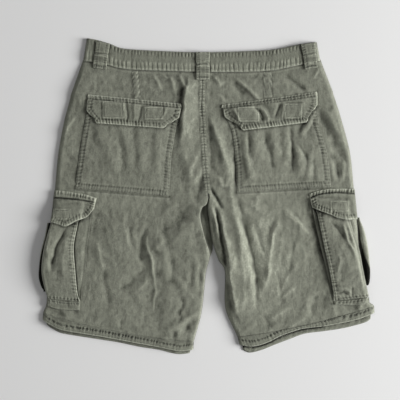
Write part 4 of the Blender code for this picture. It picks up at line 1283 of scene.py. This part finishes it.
def clothHeight(side, plan, fromIn, fromOut, above=False, mask=None):  # the back with its large folds
    x, y = plan[..., 0], plan[..., 1]
    roundIn, floorIn = (np.interp(y, *zip(*lie[key][side])) for key in ("roundIn", "floorIn"))
    curlIn = np.where(above, 1, quarterRound(fromIn, roundIn))
    curl = quarterRound(fromOut, lie["roundOut"])
    towardIn = 1 - smoothstep(0, -60, y) * (1 - smoothstep(0, 45, fromIn))
    flat = lie["backLift"] + cloth["layer"]
    height = flat + lie["loft"] + lie["swell"] * (smoothstep(0, 60, fromOut) * towardIn)
    fromBand = waistEdges(x)[3] - y
    height += (lie["bandLift"] - 0.1 - height) * (1 - smoothstep(0, lie["waistRise"], fromBand))
    height += foldsAt(backFolds, x, y) * smoothstep(0, 7, fromBand) * smoothstep(0, 8, fromOut)
    if mask is not None:
        height += foldsAt(pocketFolds[side], x, y, seed=11) * mask
    height = np.where(fromBand > 0, smoothMax(height, flat + 0.2), height)
    height = floorIn + (height - floorIn) * curlIn
    return lie["edgeFloor"] + (height - lie["edgeFloor"]) * curl, curl * curlIn


def makeBack(side):
    at = evenRows(side, 0, lastRow, cloth["cell"])
    plan = legPlan(side, at, spread)
    x, y = plan[..., 0], plan[..., 1]
    left, right, down = edgeRuns(plan)[:3]
    above = (at <= crotchRow)[:, None]
    crotchAt = int(np.argmax(at > crotchRow))
    fromBand = waistEdges(x)[3] - y

    # the part that the pocket covers takes the pocket's folds
    pocketIn, pocketOut = left[:, firstPocket, None], left[:, lastPocket, None]
    inside = np.minimum(left - pocketIn, pocketOut - left)
    rows = smoothstep(1.9, 2.9, at) * smoothstep(0, 0.25, crotchRow - at)
    mask = smoothstep(0, 9, inside) * rows[:, None]
    height, curl = clothHeight(side, plan, left, right, above, mask)
    calm = curl * (1 - 0.8 * mask) * smoothstep(-1, 6, fromBand)
    relief = back["crumple"] * crumple(x, y, back["seed"][side]) * calm

    # the felled centre seam
    sewn = smoothstep(crotchRow + 0.04, crotchRow - 0.5, at)[:, None]
    strip = sewn * smoothstep(back["seamWidth"] + 1, back["seamWidth"] - 0.5, left)
    puckers = seamRelief(y, left, back["seamRows"], seed=31, pitch=5.6, rise=0.45, reach=3.0, groove=0.4)
    relief += strip * (back["seamRise"] + puckers)
    relief -= sewn * 0.3 * bell(left, 0, 0.9)

    # the dart
    run, off, length = nearestOn(back["darts"][side], x, y)
    wide, row = back["dartWidth"][side], back["dartWidth"][side] - back["dartRow"]
    onDart = (run > 0) * (run < length)
    dart = smoothstep(wide + 0.8, wide - 0.4, abs(off)) * onDart * smoothstep(0, 3, fromBand)
    puckers = seamRelief(run, abs(off), (row,), seed=35, pitch=6, rise=0.14, reach=2)
    relief += dart * (back["dartRise"] + puckers)

    beside = ((at > 1) & (at < crotchRow + 0.05))[:, None]
    inner = left < (pocketIn + pocketOut) / 2
    below = down - down[crotchAt]
    sewnRows = curveThrough(bagTable[side], 20)
    # painted shadow beside and below the pocket, at the waistband's lower edge and along the cargo pocket's
    # sewn line
    wearAndShade = -back["edgeShadow"] * (0.4 + 0.6 * inner) * beside * bell(inside, -1.0, 1.8)
    wearAndShade -= back["edgeShadow"] * (inside > -2) * bell(below, 1.0, 1.8)
    wearAndShade += 0.7 * (inside > -2) * bell(below, 4.5, 1.4)
    wearAndShade += 0.8 * bell(fromBand, 3.8, 1.3) - 1.3 * bell(fromBand, 0, 1.8)
    wearAndShade -= sewn * 0.6 * bell(left, back["seamWidth"] + 1.4, 1.1)
    wearAndShade += dart * (1.1 * bell(abs(off), wide - 0.8, 0.9) - 0.5 * bell(off, 0, 2.0))
    wearAndShade -= 0.18 * wide * bell(abs(off), wide + 1.0, 1.1) * onDart
    wearAndShade -= 1.2 * bell(abs(nearestOn(sewnRows[:, 5:3:-1], x, y)[1]), 0, 2.2)
    points = withHeight(plan, np.maximum(height + relief * curl, back["least"]))
    makeCloth(f"back_{side}", points, cloth["layer"], "washed_twill",
              wearAndShade)
    for seamRow in back["seamRows"]:
        sew(lineAcross(plan, seamRow)[4:crotchAt])
    for aside in (-row, row):
        sew(np.array(back["darts"][side]) + (aside, 0))
    sideSeam = lineAcross(plan[:, ::-1], back["sideRow"][0])[4:]
    sew(sideSeam[sideSeam[:, 1] > back["sideRow"][1]])
    return plan[-1]


pocket = {
    "columns": 98,
    "rows": (2.0, 8.5),        # stitch lines inside its edge
    "rise": 0.36,
    "pitch": (6.4, 5.2),       # of the puckers at its sides and its foot
    "puff": {"left": 1.6, "right": 2.2},
    "crumple": 0.68,
    "turn": 0.8,               # radius of its turned edge
    "thick": 0.8,              # share of a pocket's thickness
    "seed": {"left": 121, "right": 151},
}


def flapShade(side, x, y):  # painted shadow line below the flap's lower edge
    clipRow, last = sectionNames.index("flapClip"), sectionNames.index("flapEnd")
    narrow = flap["clip"] / flap["width"]
    columns = np.array([1.0, 1 + narrow, 1.3, 1.5, 1.7, 2 - narrow, 2.0])
    corners = legPlan(side, [clipRow, *[last] * 5, clipRow], columns)
    line = np.diagonal(corners, axis1=0, axis2=1).T
    return 1.5 * bell(abs(nearestOn(line, x, y, smooth=False)[1]), 1.2, 2.0)


def makeBackPocket(side):
    at = evenRows(side, sectionNames.index("flapBase"), crotchRow, cloth["fineCell"] * 1.2)
    plan = legPlan(side, at, np.linspace(1, 2, pocket["columns"]))
    x, y = plan[..., 0], plan[..., 1]
    left, right, down, up = edgeRuns(plan)
    edge = np.minimum.reduce([left, right, up])
    seed, thick = pocket["seed"][side], cloth["pocket"] * pocket["thick"]
    full = smoothstep(6, 30, edge) * smoothstep(-0.2, 0.5, at[-1] - at)[:, None]
    height = restOn(plan, 1) + cloth["gap"] + thick + pocket["puff"][side] * full
    relief = pocket["crumple"] * crumple(x, y, seed) * smoothstep(0, 12, edge)
    sidePitch, footPitch = pocket["pitch"]
    for number, (off, along, pitch) in enumerate((
            (left, down, sidePitch), (right, down, sidePitch), (up, left, footPitch)), 1):
        puckers = seamRelief(along, off, pocket["rows"], seed + number, pitch, pocket["rise"], reach=3.6)
        relief += puckers * (off < 16) * smoothstep(0, 2, edge)
    relief -= pocket["turn"] * (1 - quarterRound(edge, pocket["turn"])) + 0.5 * smoothstep(8, 0, edge)
    wearAndShade = 0.7 * bell(edge, 0.8, 0.9) - 0.8 * bell(edge, 10.6, 1.5)
    wearAndShade += 0.6 * bell(edge, 13.0, 1.3) - 0.4 * smoothstep(1, 3, edge) * smoothstep(9, 7, edge)
    # painted shadow below the flap
    wearAndShade -= flapShade(side, x, y)
    makeCloth(f"back_pocket_{side}", withHeight(plan, height + relief), thick,
              "washed_twill", wearAndShade)
    sewBoth(plan, pocket["rows"], slice(0, -3))
    for row in pocket["rows"]:
        sew(lineDown(plan[::-1], row)[3:-3])


flap = {
    "width": 168.0,
    "columns": 112,
    "clip": 23,
    "stand": (0.3, 0.45, 0.9),     # air below it at its top, its strip and its lower edge
    "strip": 8.0,                  # height of the strip that is sewn down
    "stripRows": (2.0, 6.4),
    "rows": (2.2, 8.2),            # stitch lines around its sides and lower edge
    "pitch": 5.6,
    "bandRise": 0.5,
    "crumple": 0.4,
    "turn": 1.4,
    "seed": {"left": 221, "right": 251},
    # squares of a fastener sewn below: xLow, xHigh, yLow, yHigh
    "patches": {"left": ((-197, -157, 148, 180), (-117, -84, 146, 169)),
                "right": ((59, 98, 142, 169), (147, 179, 148, 175))},
    "patchRise": 0.8,
    "patchRow": 2,
}


def patchRelief(x, y, corners, rise):  # the patches' relief, and their outlines: lighter just inside, darker just outside
    relief, wearAndShade = np.zeros(x.shape), np.zeros(x.shape)
    for lowX, highX, lowY, highY in corners:
        inside = np.minimum.reduce([x - lowX, highX - x, y - lowY, highY - y])
        relief += rise * smoothstep(-0.8, 1.2, inside) - 0.8 * bell(inside, 2.2, 0.9)
        wearAndShade += 1.2 * bell(inside, 0.6, 1.3) - 1.0 * bell(inside, -2.2, 1.2)
    return relief, wearAndShade


def sewPatches(corners):
    row = flap["patchRow"]
    for lowX, highX, lowY, highY in corners:
        left, right, low, high = lowX + row, highX - row, lowY + row, highY - row
        sew(((left, low), (right, low), (right, high), (left, high), (left, low)))


def makeBackFlap(side):
    first, baseRow, clipRow, last = (sectionNames.index(name) for name in (
        "flapTop", "flapBase", "flapClip", "flapEnd"))
    at = evenRows(side, first, last, cloth["fineCell"])
    narrow = np.clip((at - clipRow) / (last - clipRow), 0, 1) * flap["clip"] / flap["width"]
    share = np.linspace(-0.5, 0.5, flap["columns"])
    plan = legPlan(side, at, 1.5 + share * (1 - 2 * narrow[:, None]))
    x, y = plan[..., 0], plan[..., 1]
    left, down = edgeRuns(plan)[::2]
    clipAt = int(np.argmin(abs(at - clipRow)))
    outline = np.array([plan[0, 0], plan[clipAt, 0], *plan[-1, ::12], plan[-1, -1],
                        plan[clipAt, -1], plan[0, -1]])
    run, off = nearestOn(outline[::outward[side]], x, y, smooth=False)[:2]
    off = abs(off)
    edge = np.minimum(off, down)
    seed, strip = flap["seed"][side], flap["strip"]
    stand = np.interp(at, (first, baseRow, last), flap["stand"])[:, None]
    height = restOn(plan, 2) + stand + cloth["flap"]
    relief = flap["crumple"] * crumple(x, y, seed) * smoothstep(0, 10, edge)
    relief += foldsAt(flapFolds[side], x, y, seed=13) * smoothstep(strip, strip + 3, down)
    relief += (down < 14) * seamRelief(left, down, flap["stripRows"], seed + 1,
                                       pitch=6.4, rise=0.5, reach=2.8)
    relief -= 1.3 * bell(down, strip + 0.6, 1.4)
    around = smoothstep(strip + 1, strip + 5, down) * smoothstep(0.6, 2.4, off)
    relief += around * seamRelief(run, off, flap["rows"], seed + 2, flap["pitch"], flap["bandRise"],
                                  reach=3.6)
    patches, patchLines = patchRelief(x, y, flap["patches"][side], flap["patchRise"])
    relief += patches - flap["turn"] * (1 - quarterRound(edge, flap["turn"]))
    # lighter worn edges; painted shadow below the sewn strip
    wearAndShade = 4.0 * bell(edge, 1.0, 1.4) - 1.0 * bell(down, strip + 0.6, 1.6) + patchLines
    wearAndShade -= 0.7 * bell(off, flap["rows"][1] + 1.6, 1.2) * around
    makeCloth(f"back_flap_{side}", withHeight(plan, height + relief), cloth["flap"],
              "twill_trim", wearAndShade)
    for row in flap["stripRows"]:
        sew(lineDown(plan, row)[2:-2])
    for row in flap["rows"]:
        sew(insetLine(outline[[0, 1, 2, -4, -3, -2, -1]], row))
    sewPatches(flap["patches"][side])


# Belt loops

loop = {
    "grid": (40, 20),
    "frontGrid": (24, 12),
    "narrow": 0.05,          # how much narrower it is at its crease
    "bulge": 0.9,            # how far it stands off the waistband
    "rise": 0.35,
    "pitch": 4.6,
    "rows": (2.4, 5.4),
    "creaseAt": 0.42,        # share of its length
    "crease": 1.2,
    "turn": 1.0,
    "tackAt": 0.9,
    "tack": 0.8,
    "tackRows": (3.2, 4.2, 5.2),
    "crumple": 0.35,
    "seed": 301,
}


def makeBackLoops():
    rows, columns = loop["grid"]
    t, s = np.linspace(0, 1, rows)[:, None], np.linspace(-0.5, 0.5, columns)[None, :]
    for number, (name, row) in enumerate(backLoopTable.items()):
        xTop, yTop, wideTop, xLow, yLow, wideLow = row
        wide = (wideTop + (wideLow - wideTop) * t) * (1 - loop["narrow"] * bell(t, loop["creaseAt"], 0.08))
        plan = planOf(xTop + (xLow - xTop) * t + wide * s,
                      yTop + (yLow - yTop) * t + wide * s * (xLow - xTop) / (yTop - yLow))
        left, right, down, up = edgeRuns(plan)
        sides = np.minimum(left, right)
        edge = np.minimum.reduce([sides, down, up])
        height = restOn(plan, 4) + cloth["air"] + cloth["loop"]
        height += loop["bulge"] * np.sin(math.pi * np.clip(t / 0.8, 0, 1)) * smoothstep(0, 6, sides)
        relief = loop["crumple"] * crumple(plan[..., 0], plan[..., 1], loop["seed"] + 7 * number)
        relief += seamRelief(down, sides, loop["rows"], loop["seed"] + 2 + number, loop["pitch"],
                             loop["rise"], reach=2.0)
        relief -= loop["crease"] * bell(t + 0.05 * s, loop["creaseAt"], 0.035)
        relief -= loop["tack"] * bell(t, loop["tackAt"], 0.03) * smoothstep(0, 4, sides)
        relief -= loop["turn"] * (1 - quarterRound(edge, loop["turn"]))
        wearAndShade = 0.8 * bell(edge, 0.8, 1.1) - 0.7 * bell(sides, 6.2, 1.2)
        # painted shade across the loop below its crease
        wearAndShade += 0.9 * bell(t, loop["creaseAt"] + 0.09, 0.035) - 0.8 * bell(t, 0.62, 0.1)
        wearAndShade += 0.8 * bell(t, 0.78, 0.03) - bell(t, loop["tackAt"], 0.035)
        makeCloth(f"belt_loop_back_{name}", withHeight(plan, height + relief), cloth["loop"],
                  "twill_trim", wearAndShade)
        sewBoth(plan, loop["rows"], slice(1, -1))
        for off in loop["tackRows"]:
            sew(lineDown(plan[::-1], off)[2:-2])


def makeFrontLoops():
    rows, columns = loop["frontGrid"]
    t, s = np.linspace(0, 1, rows)[:, None], np.linspace(-0.5, 0.5, columns)[None, :]
    for name, (xTop, yTop, wideTop, xLow, yLow, wideLow) in frontLoopTable.items():
        x = xTop + (xLow - xTop) * t + (wideTop + (wideLow - wideTop) * t) * s
        plan = planOf(x, yTop + (yLow - yTop) * t)
        makeCloth(f"belt_loop_front_{name}", withHeight(plan, front["loop"]), front["loop"],
                  "twill_trim")


# Cargo pockets

cargo = {
    "rows": (2.4, 7.6),
    "rise": 0.42,
    "pitch": 6.6,
    "crumple": 0.7,
    "turn": 1.3,
    "base": 7.0,             # height of the leg under it
    "drop": {"left": (0.93, 1.03), "right": (0.86, 1.0)},   # where the bag falls off outwards
    # how far across the rolled outer half the painted shadow in its hollow reaches: y, share
    "rimShade": {"left": ((-172, -130, -90, -58), (0.9, 0.75, 0.5, 0.42)),
                 "right": ((-160, -140, -128, -112, -66, -50), (0.95, 0.85, 0.55, 0.25, 0.18, 0.0))},
    "rimThick": 1.1,
    "rimLeast": 1.2,         # lowest that its upper surface comes
    "rimGrid": (80, 18),
    "bagGrid": (110, 46),
    "gussetCells": 14,
    "gussetCrease": 2.0,
    "gussetBulge": 0.8,
    "footGrid": (46, 12),
    "footRow": 3.0,
    "footPitch": 7,
    "seed": {"left": 421, "right": 451},
}


def makeCargoRim(side):  # outer half, rolled up from the table beside the leg
    edge = legEdge(side)
    rows, columns = cargo["rimGrid"]
    across = np.linspace(0, 1, columns)
    rim = []
    for y, xIn, xOut, height in curveThrough(rimTable[side], rows):
        legX = np.interp(y, edge[::-1, 1], abs(edge[::-1, 0]))
        inside = max(abs(xIn), legX + 2.6)
        width = max(abs(xOut) - inside, 3.6)
        knots = (legX + 0.5, inside, inside + 0.2 * width,
                 inside + 0.55 * width, inside + 0.9 * width, inside + width)
        raised = smoothstep(-125, -95, y) * 0.7 * height
        tops = (max(1.9, 0.8 * raised), max(2.0, raised), 0.85 * height, height, 0.9 * height, 1.3)
        section = curveThrough(np.stack([knots, tops], axis=1), columns)
        rim.append(np.stack([outward[side] * section[:, 0], np.full(columns, y), section[:, 1]], axis=1))
    rim = np.array(rim)
    rim[..., 2] += 0.5 * crumple(rim[..., 0], rim[..., 1], cargo["seed"][side]) * np.sin(math.pi * across)
    rim[..., 2] = np.maximum(rim[..., 2], cargo["rimLeast"])
    pastShade = across - np.interp(rim[:, :1, 1], *cargo["rimShade"][side])
    # painted shadow over the inner part of the rim, lighter beyond it
    wearAndShade = 0.8 * smoothstep(0, 0.15, pastShade) - 3.5 * smoothstep(0.1, -0.05, pastShade)
    makeCloth(f"cargo_rim_{side}", rim, cargo["rimThick"], "washed_twill", wearAndShade)


def makeCargoBag(side, lowLine):
    seed = cargo["seed"][side]
    rows, columns = cargo["bagGrid"]
    across = np.linspace(0, 1, columns)
    table = curveThrough(bagTable[side], rows)
    yIn, xIn, yOut, xOut, ySewn, xSewn, rise, edgeRise = table.T[:, :, None]
    plan = planOf(xIn + (xOut - xIn) * across, yIn + (yOut - yIn) * across)
    x, y = plan[..., 0], plan[..., 1]
    drop = smoothstep(*cargo["drop"][side], across)
    crown = rise * (0.82 + 0.18 * np.sin(across * math.pi * 0.8))
    inner, outer, down, up = edgeRuns(plan)
    sides = np.minimum(inner, outer)
    under = restOn(plan, 3) + cloth["air"]
    under[:, 0] += cloth["layer"] + 0.9
    height = np.maximum(cargo["base"] + crown * (1 - drop) + edgeRise * drop, under) + cloth["pocket"]
    relief = foldsAt(bagFolds[side], x, y, seed=15) * smoothstep(2, 9, inner) * smoothstep(1, 7, outer)
    relief += cargo["crumple"] * crumple(x, y, seed + 1) * smoothstep(0, 8, sides)
    relief += (inner < 14) * seamRelief(down, inner, cargo["rows"], seed + 2, cargo["pitch"],
                                        cargo["rise"], reach=3.2)
    relief += (up < 12) * seamRelief(inner, up, (3.0,), seed + 3, cargo["pitch"], cargo["rise"],
                                     reach=3.4)
    relief -= cargo["turn"] * (1 - quarterRound(sides, cargo["turn"] * 1.5))
    bag = withHeight(plan, np.maximum(height + relief, under + 0.3))
    fromLow = abs(nearestOn(lowLine, x, y)[1])
    # lighter worn edges; painted shadow below the flap's lower edge, wider under its inner part
    wearAndShade = 1.6 * bell(sides, 0.8, 1.1) - 0.7 * bell(inner, 9.6, 1.4) - 1.6 * bell(fromLow, 1.6, 2.4)
    wearAndShade -= 1.6 * smoothstep(0.4, 0.1, across) * bell(fromLow, 3, 5)
    makeCloth(f"cargo_bag_{side}", bag, cloth["pocket"], "washed_twill",
              wearAndShade)
    for row in cargo["rows"]:
        sew(lineAcross(plan, row)[18:-2])
    return bag, down[:, :1], np.concatenate([xSewn, ySewn], axis=1)


def makeCargoGusset(side, lowLine, bag, down, sewn):  # from the leg up to the bag's inner edge
    seed = cargo["seed"][side]
    t = np.linspace(0, 1, cargo["gussetCells"])[None, :]
    rim = bag[:, 0] + np.array([-outward[side] * 0.9, 0, -cloth["pocket"] - cloth["air"]])
    rim[:, 2] = blurred(rim[:, 2:], 5)[:, 0] - 0.4
    foot = withHeight(sewn[:, None], topOf(sewn[:, None]) + cloth["layer"] + 0.3)[:, 0]
    gusset = foot[:, None] + (rim - foot)[:, None] * t[..., None]
    middle = np.sin(math.pi * t)
    gusset[..., 2] += (rim - foot)[:, None, 2] * (smoothstep(0, 0.45, t) - t) * cargo["gussetBulge"]
    gusset[..., 2] -= cargo["gussetCrease"] * middle * (0.6 + 0.5 * softNoise(down, t * 9, 23, seed + 5))
    gusset[..., 2] += 0.5 * crumple(gusset[..., 0], gusset[..., 1], seed + 6) * middle
    gusset[..., 2] = np.maximum(gusset[..., 2], topOf(gusset[..., :2]) + 0.2 * (t < 0.9))
    gusset[:, -1, 2] = rim[:, 2]
    # painted shade under the bag's edge, at the gusset's foot and below the flap
    wearAndShade = 0.9 * bell(t, 0.25, 0.14) - 1.8 * bell(t, 1.0, 0.16) - 1.6 * bell(t, 0, 0.09)
    wearAndShade = wearAndShade - 1.5 * bell(abs(nearestOn(lowLine, gusset[..., 0], gusset[..., 1])[1]), 2, 4)
    makeCloth(f"cargo_gusset_{side}", gusset, cloth["layer"] - 0.1, "washed_twill", wearAndShade)
    sew(sewn[18:-2] + (outward[side] * 1.4, 0))


def makeCargoFoot(side):
    seed = cargo["seed"][side]
    rows, columns = cargo["footGrid"]
    x, yTop, yLow = curveThrough(footTable[side], rows).T
    y = yTop + (yLow - yTop) * np.linspace(0, 1, columns)[:, None]
    plan = planOf(x, y)
    left, right, down, up = edgeRuns(plan)
    relief = seamRelief(left, down, (cargo["footRow"],), seed + 8, cargo["footPitch"], cargo["rise"],
                        reach=3.4)
    relief += 0.4 * crumple(plan[..., 0], plan[..., 1], seed + 9)
    relief -= 1.0 * (1 - quarterRound(np.minimum.reduce([left, right, up]), 1.2))
    height = restOn(plan, 2) + cloth["air"] + cloth["loop"] + relief
    makeCloth(f"cargo_foot_{side}", withHeight(plan, height), cloth["loop"], "twill_trim")
    sew(lineDown(plan, cargo["footRow"])[2:-2])


def makeCargoPocket(side):
    lowLine = np.array(cargoFlapTable[side])[:, 4:6]
    makeCargoRim(side)
    makeCargoGusset(side, lowLine, *makeCargoBag(side, lowLine))
    makeCargoFoot(side)


cargoFlap = {
    "columns": 66,
    "stripCells": 6,
    "cells": 28,
    "air": (0.4, 0.9),       # below it at its top and its lower edge
    "stripRows": (2.2, 5.6),
    "rows": (2.4, 8.0),
    "crumple": 0.55,
    "turn": 1.4,
    "patches": {"left": ((-290, -257, -43, -24),), "right": ((234, 268, -28, -9),)},
    "patchRise": 0.5,
    "patchLines": 0.6,
    "seed": {"left": 521, "right": 551},
}


def makeCargoFlap(side):
    seed = cargoFlap["seed"][side]
    columns = curveThrough(cargoFlapTable[side], cargoFlap["columns"])
    top, strip, low = columns[:, 0:2], columns[:, 2:4], columns[:, 4:6]
    onStrip = np.linspace(0, 1, cargoFlap["stripCells"] + 1)[:-1, None, None]
    below = np.linspace(0, 1, cargoFlap["cells"])[:, None, None]
    plan = np.concatenate([top + (strip - top) * onStrip, strip + (low - strip) * below])
    x, y = plan[..., 0], plan[..., 1]
    left, right, down = edgeRuns(plan)[:3]
    outline = np.concatenate([plan[::4, 0], plan[-1]])
    run, off = nearestOn(outline, x, y, smooth=False)[:2]
    off = abs(off)
    edge = np.minimum(off, right)
    stripAt = np.linalg.norm(strip - top, axis=1)[None, :]
    relief = cargoFlap["crumple"] * crumple(x, y, seed) * smoothstep(0, 8, edge)
    relief += (down < 12) * seamRelief(left, down, cargoFlap["stripRows"], seed + 1,
                                       pitch=6.0, rise=0.45, reach=2.8)
    relief -= 1.4 * bell(down, stripAt + 0.6, 1.4)
    around = smoothstep(stripAt, stripAt + 3, down) * smoothstep(0.6, 2.4, off)
    relief += around * seamRelief(run, off, cargoFlap["rows"], seed + 2,
                                  pitch=5.8, rise=0.5, reach=3.6)
    patches, patchLines = patchRelief(x, y, cargoFlap["patches"][side], cargoFlap["patchRise"])
    relief += patches - cargoFlap["turn"] * (1 - quarterRound(np.minimum(edge, down), cargoFlap["turn"]))
    height = restOn(plan, 3) + np.linspace(*cargoFlap["air"], len(plan))[:, None] + cloth["flap"] + relief
    # lighter worn edges; painted shadow below the sewn strip
    wearAndShade = 4.0 * bell(np.minimum(off, down), 1.0, 1.4) - 1.6 * bell(down, stripAt + 0.6, 1.8)
    wearAndShade += patchLines * cargoFlap["patchLines"] - 0.7 * bell(off, 9.8, 1.2) * around
    makeCloth(f"cargo_flap_{side}", withHeight(plan, height), cloth["flap"],
              "twill_trim", wearAndShade)
    sew(lineDown(plan, cargoFlap["rows"][0])[2:-2])
    for row in cargoFlap["rows"]:
        sew(lineDown(plan[::-1], row)[3:-3])
    sewBoth(plan, cargoFlap["rows"][:1], slice(4, -3))
    sewPatches(cargoFlap["patches"][side])


# Sewing thread

thread = {
    "pitch": 3.3,
    "length": 2.3,
    "width": 0.75,
    "height": 0.5,
    "steepest": 1.4,     # a stitch that climbs more than this is left out
    "sides": (5, 3),
}


def makeStitches():
    starts, stops = [], []
    for line in seams:
        along = alongLine(line)
        if along[-1] < thread["pitch"]:
            continue
        at = np.arange(0.8, along[-1] - thread["length"], thread["pitch"])
        for places, extra in ((starts, 0), (stops, thread["length"])):
            places.append(np.stack([np.interp(at + extra, along, line[:, k]) for k in (0, 1)], axis=1))
    low, high = (withHeight(places[:, None], topOf(places[:, None]))[:, 0]
                 for places in (np.concatenate(starts), np.concatenate(stops)))
    keep = abs(low[:, 2] - high[:, 2]) < thread["steepest"]
    low, high = low[keep], high[keep]

    bm = bmesh.new()
    bmesh.ops.create_uvsphere(bm, u_segments=thread["sides"][0], v_segments=thread["sides"][1], radius=0.5)
    ball = np.array([v.co for v in bm.verts])
    faces = [[v.index for v in f.verts] for f in bm.faces]
    bm.free()
    ahead = high - low
    ahead /= np.linalg.norm(ahead, axis=1, keepdims=True)
    aside = np.cross(np.array([0, 0, 1.0]), ahead)
    upward = np.cross(ahead, aside)
    centre = (low + high) / 2 + upward * 0.1
    spots = (centre[:, None] + ahead[:, None] * ball[:, :1] * thread["length"]
             + aside[:, None] * ball[:, 1:2] * thread["width"]
             + upward[:, None] * ball[:, 2:3] * thread["height"])
    allFaces = [[k * len(ball) + v for v in face] for k in range(len(centre)) for face in faces]
    mesh = bpy.data.meshes.new("stitches")
    mesh.from_pydata(((spots.reshape(-1, 3) + shift) * 0.001).tolist(), [], allFaces)
    mesh.materials.append(materials["sewing_thread"])
    mesh.shade_smooth()
    thing = addObject("stitches", mesh)
    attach(thing, "root")
    pieces.append(thing)
    print(f"{len(centre)} stitches")


for side in ("left", "right"):
    makeUnderHalves(side)
makeFly()
makeButton()
makeFrontLoops()
for side in ("left", "right"):
    makeFrontHem(side, makeFront(side))
makeFrontBands()
print("front laid")
for side in ("left", "right"):
    makeBackHem(side, makeBack(side))
    makeBackPocket(side)
    makeBackFlap(side)
print("back laid")
makeBackBand()
makeBackLoops()
for side in ("left", "right"):
    makeCargoPocket(side)
    makeCargoFlap(side)
print("pockets laid")
makeStitches()


# The table, the light and the camera

room = {
    "tableHalf": 3,      # metres from its middle to its edge
    "table": (0.765, 0.765, 0.76),
    "tableRoughness": 0.7,
    # place, size and power of each lamp
    "lamps": {"window": ((4.4, -0.3, 1.9), 2.2, 408), "fill": ((-2.2, 0.5, 2.2), 2.0, 7)},
    "world": 0.203,
    "cameraOver": (-13.3, -6.65),    # in the tables' millimetres
    "cameraHeight": 2.0,
    "lens": 94.5,
    "sensor": 36,
}
scene = bpy.context.scene
bm = bmesh.new()
bmesh.ops.create_grid(bm, x_segments=1, y_segments=1, size=room["tableHalf"])
floor = addObject("floor", meshOf(bm, "floor"))
floor.data.materials.append(startMaterial("table_top", room["table"], room["tableRoughness"])[0])
for name, (place, size, power) in room["lamps"].items():
    light = bpy.data.lights.new(name, "AREA")
    light.shape = "SQUARE"
    light.size = size
    light.energy = power
    lamp = addObject(name, light)
    lamp.location = place
    lamp.rotation_euler = (-Vector(place)).to_track_quat("-Z", "Y").to_euler()
world = bpy.data.worlds.new("room")
scene.world = world
world.use_nodes = True
background = world.node_tree.nodes["Background"]
background.inputs["Color"].default_value = (1.0, 1.0, 1.0, 1)
background.inputs["Strength"].default_value = room["world"]
scene.view_settings.view_transform = "Standard"

lens = bpy.data.cameras.new("camera")
lens.lens = room["lens"]
lens.sensor_width = room["sensor"]
camera = addObject("camera", lens)
over = (np.array(room["cameraOver"]) + shift[:2]) * 0.001
camera.location = (*over, room["cameraHeight"])
scene.camera = camera
print("stage set")

bpy.context.view_layer.update()
shapes = bpy.context.evaluated_depsgraph_get()
corners = np.array([piece.matrix_world @ Vector(corner) for piece in pieces
                    for corner in piece.evaluated_get(shapes).bound_box])
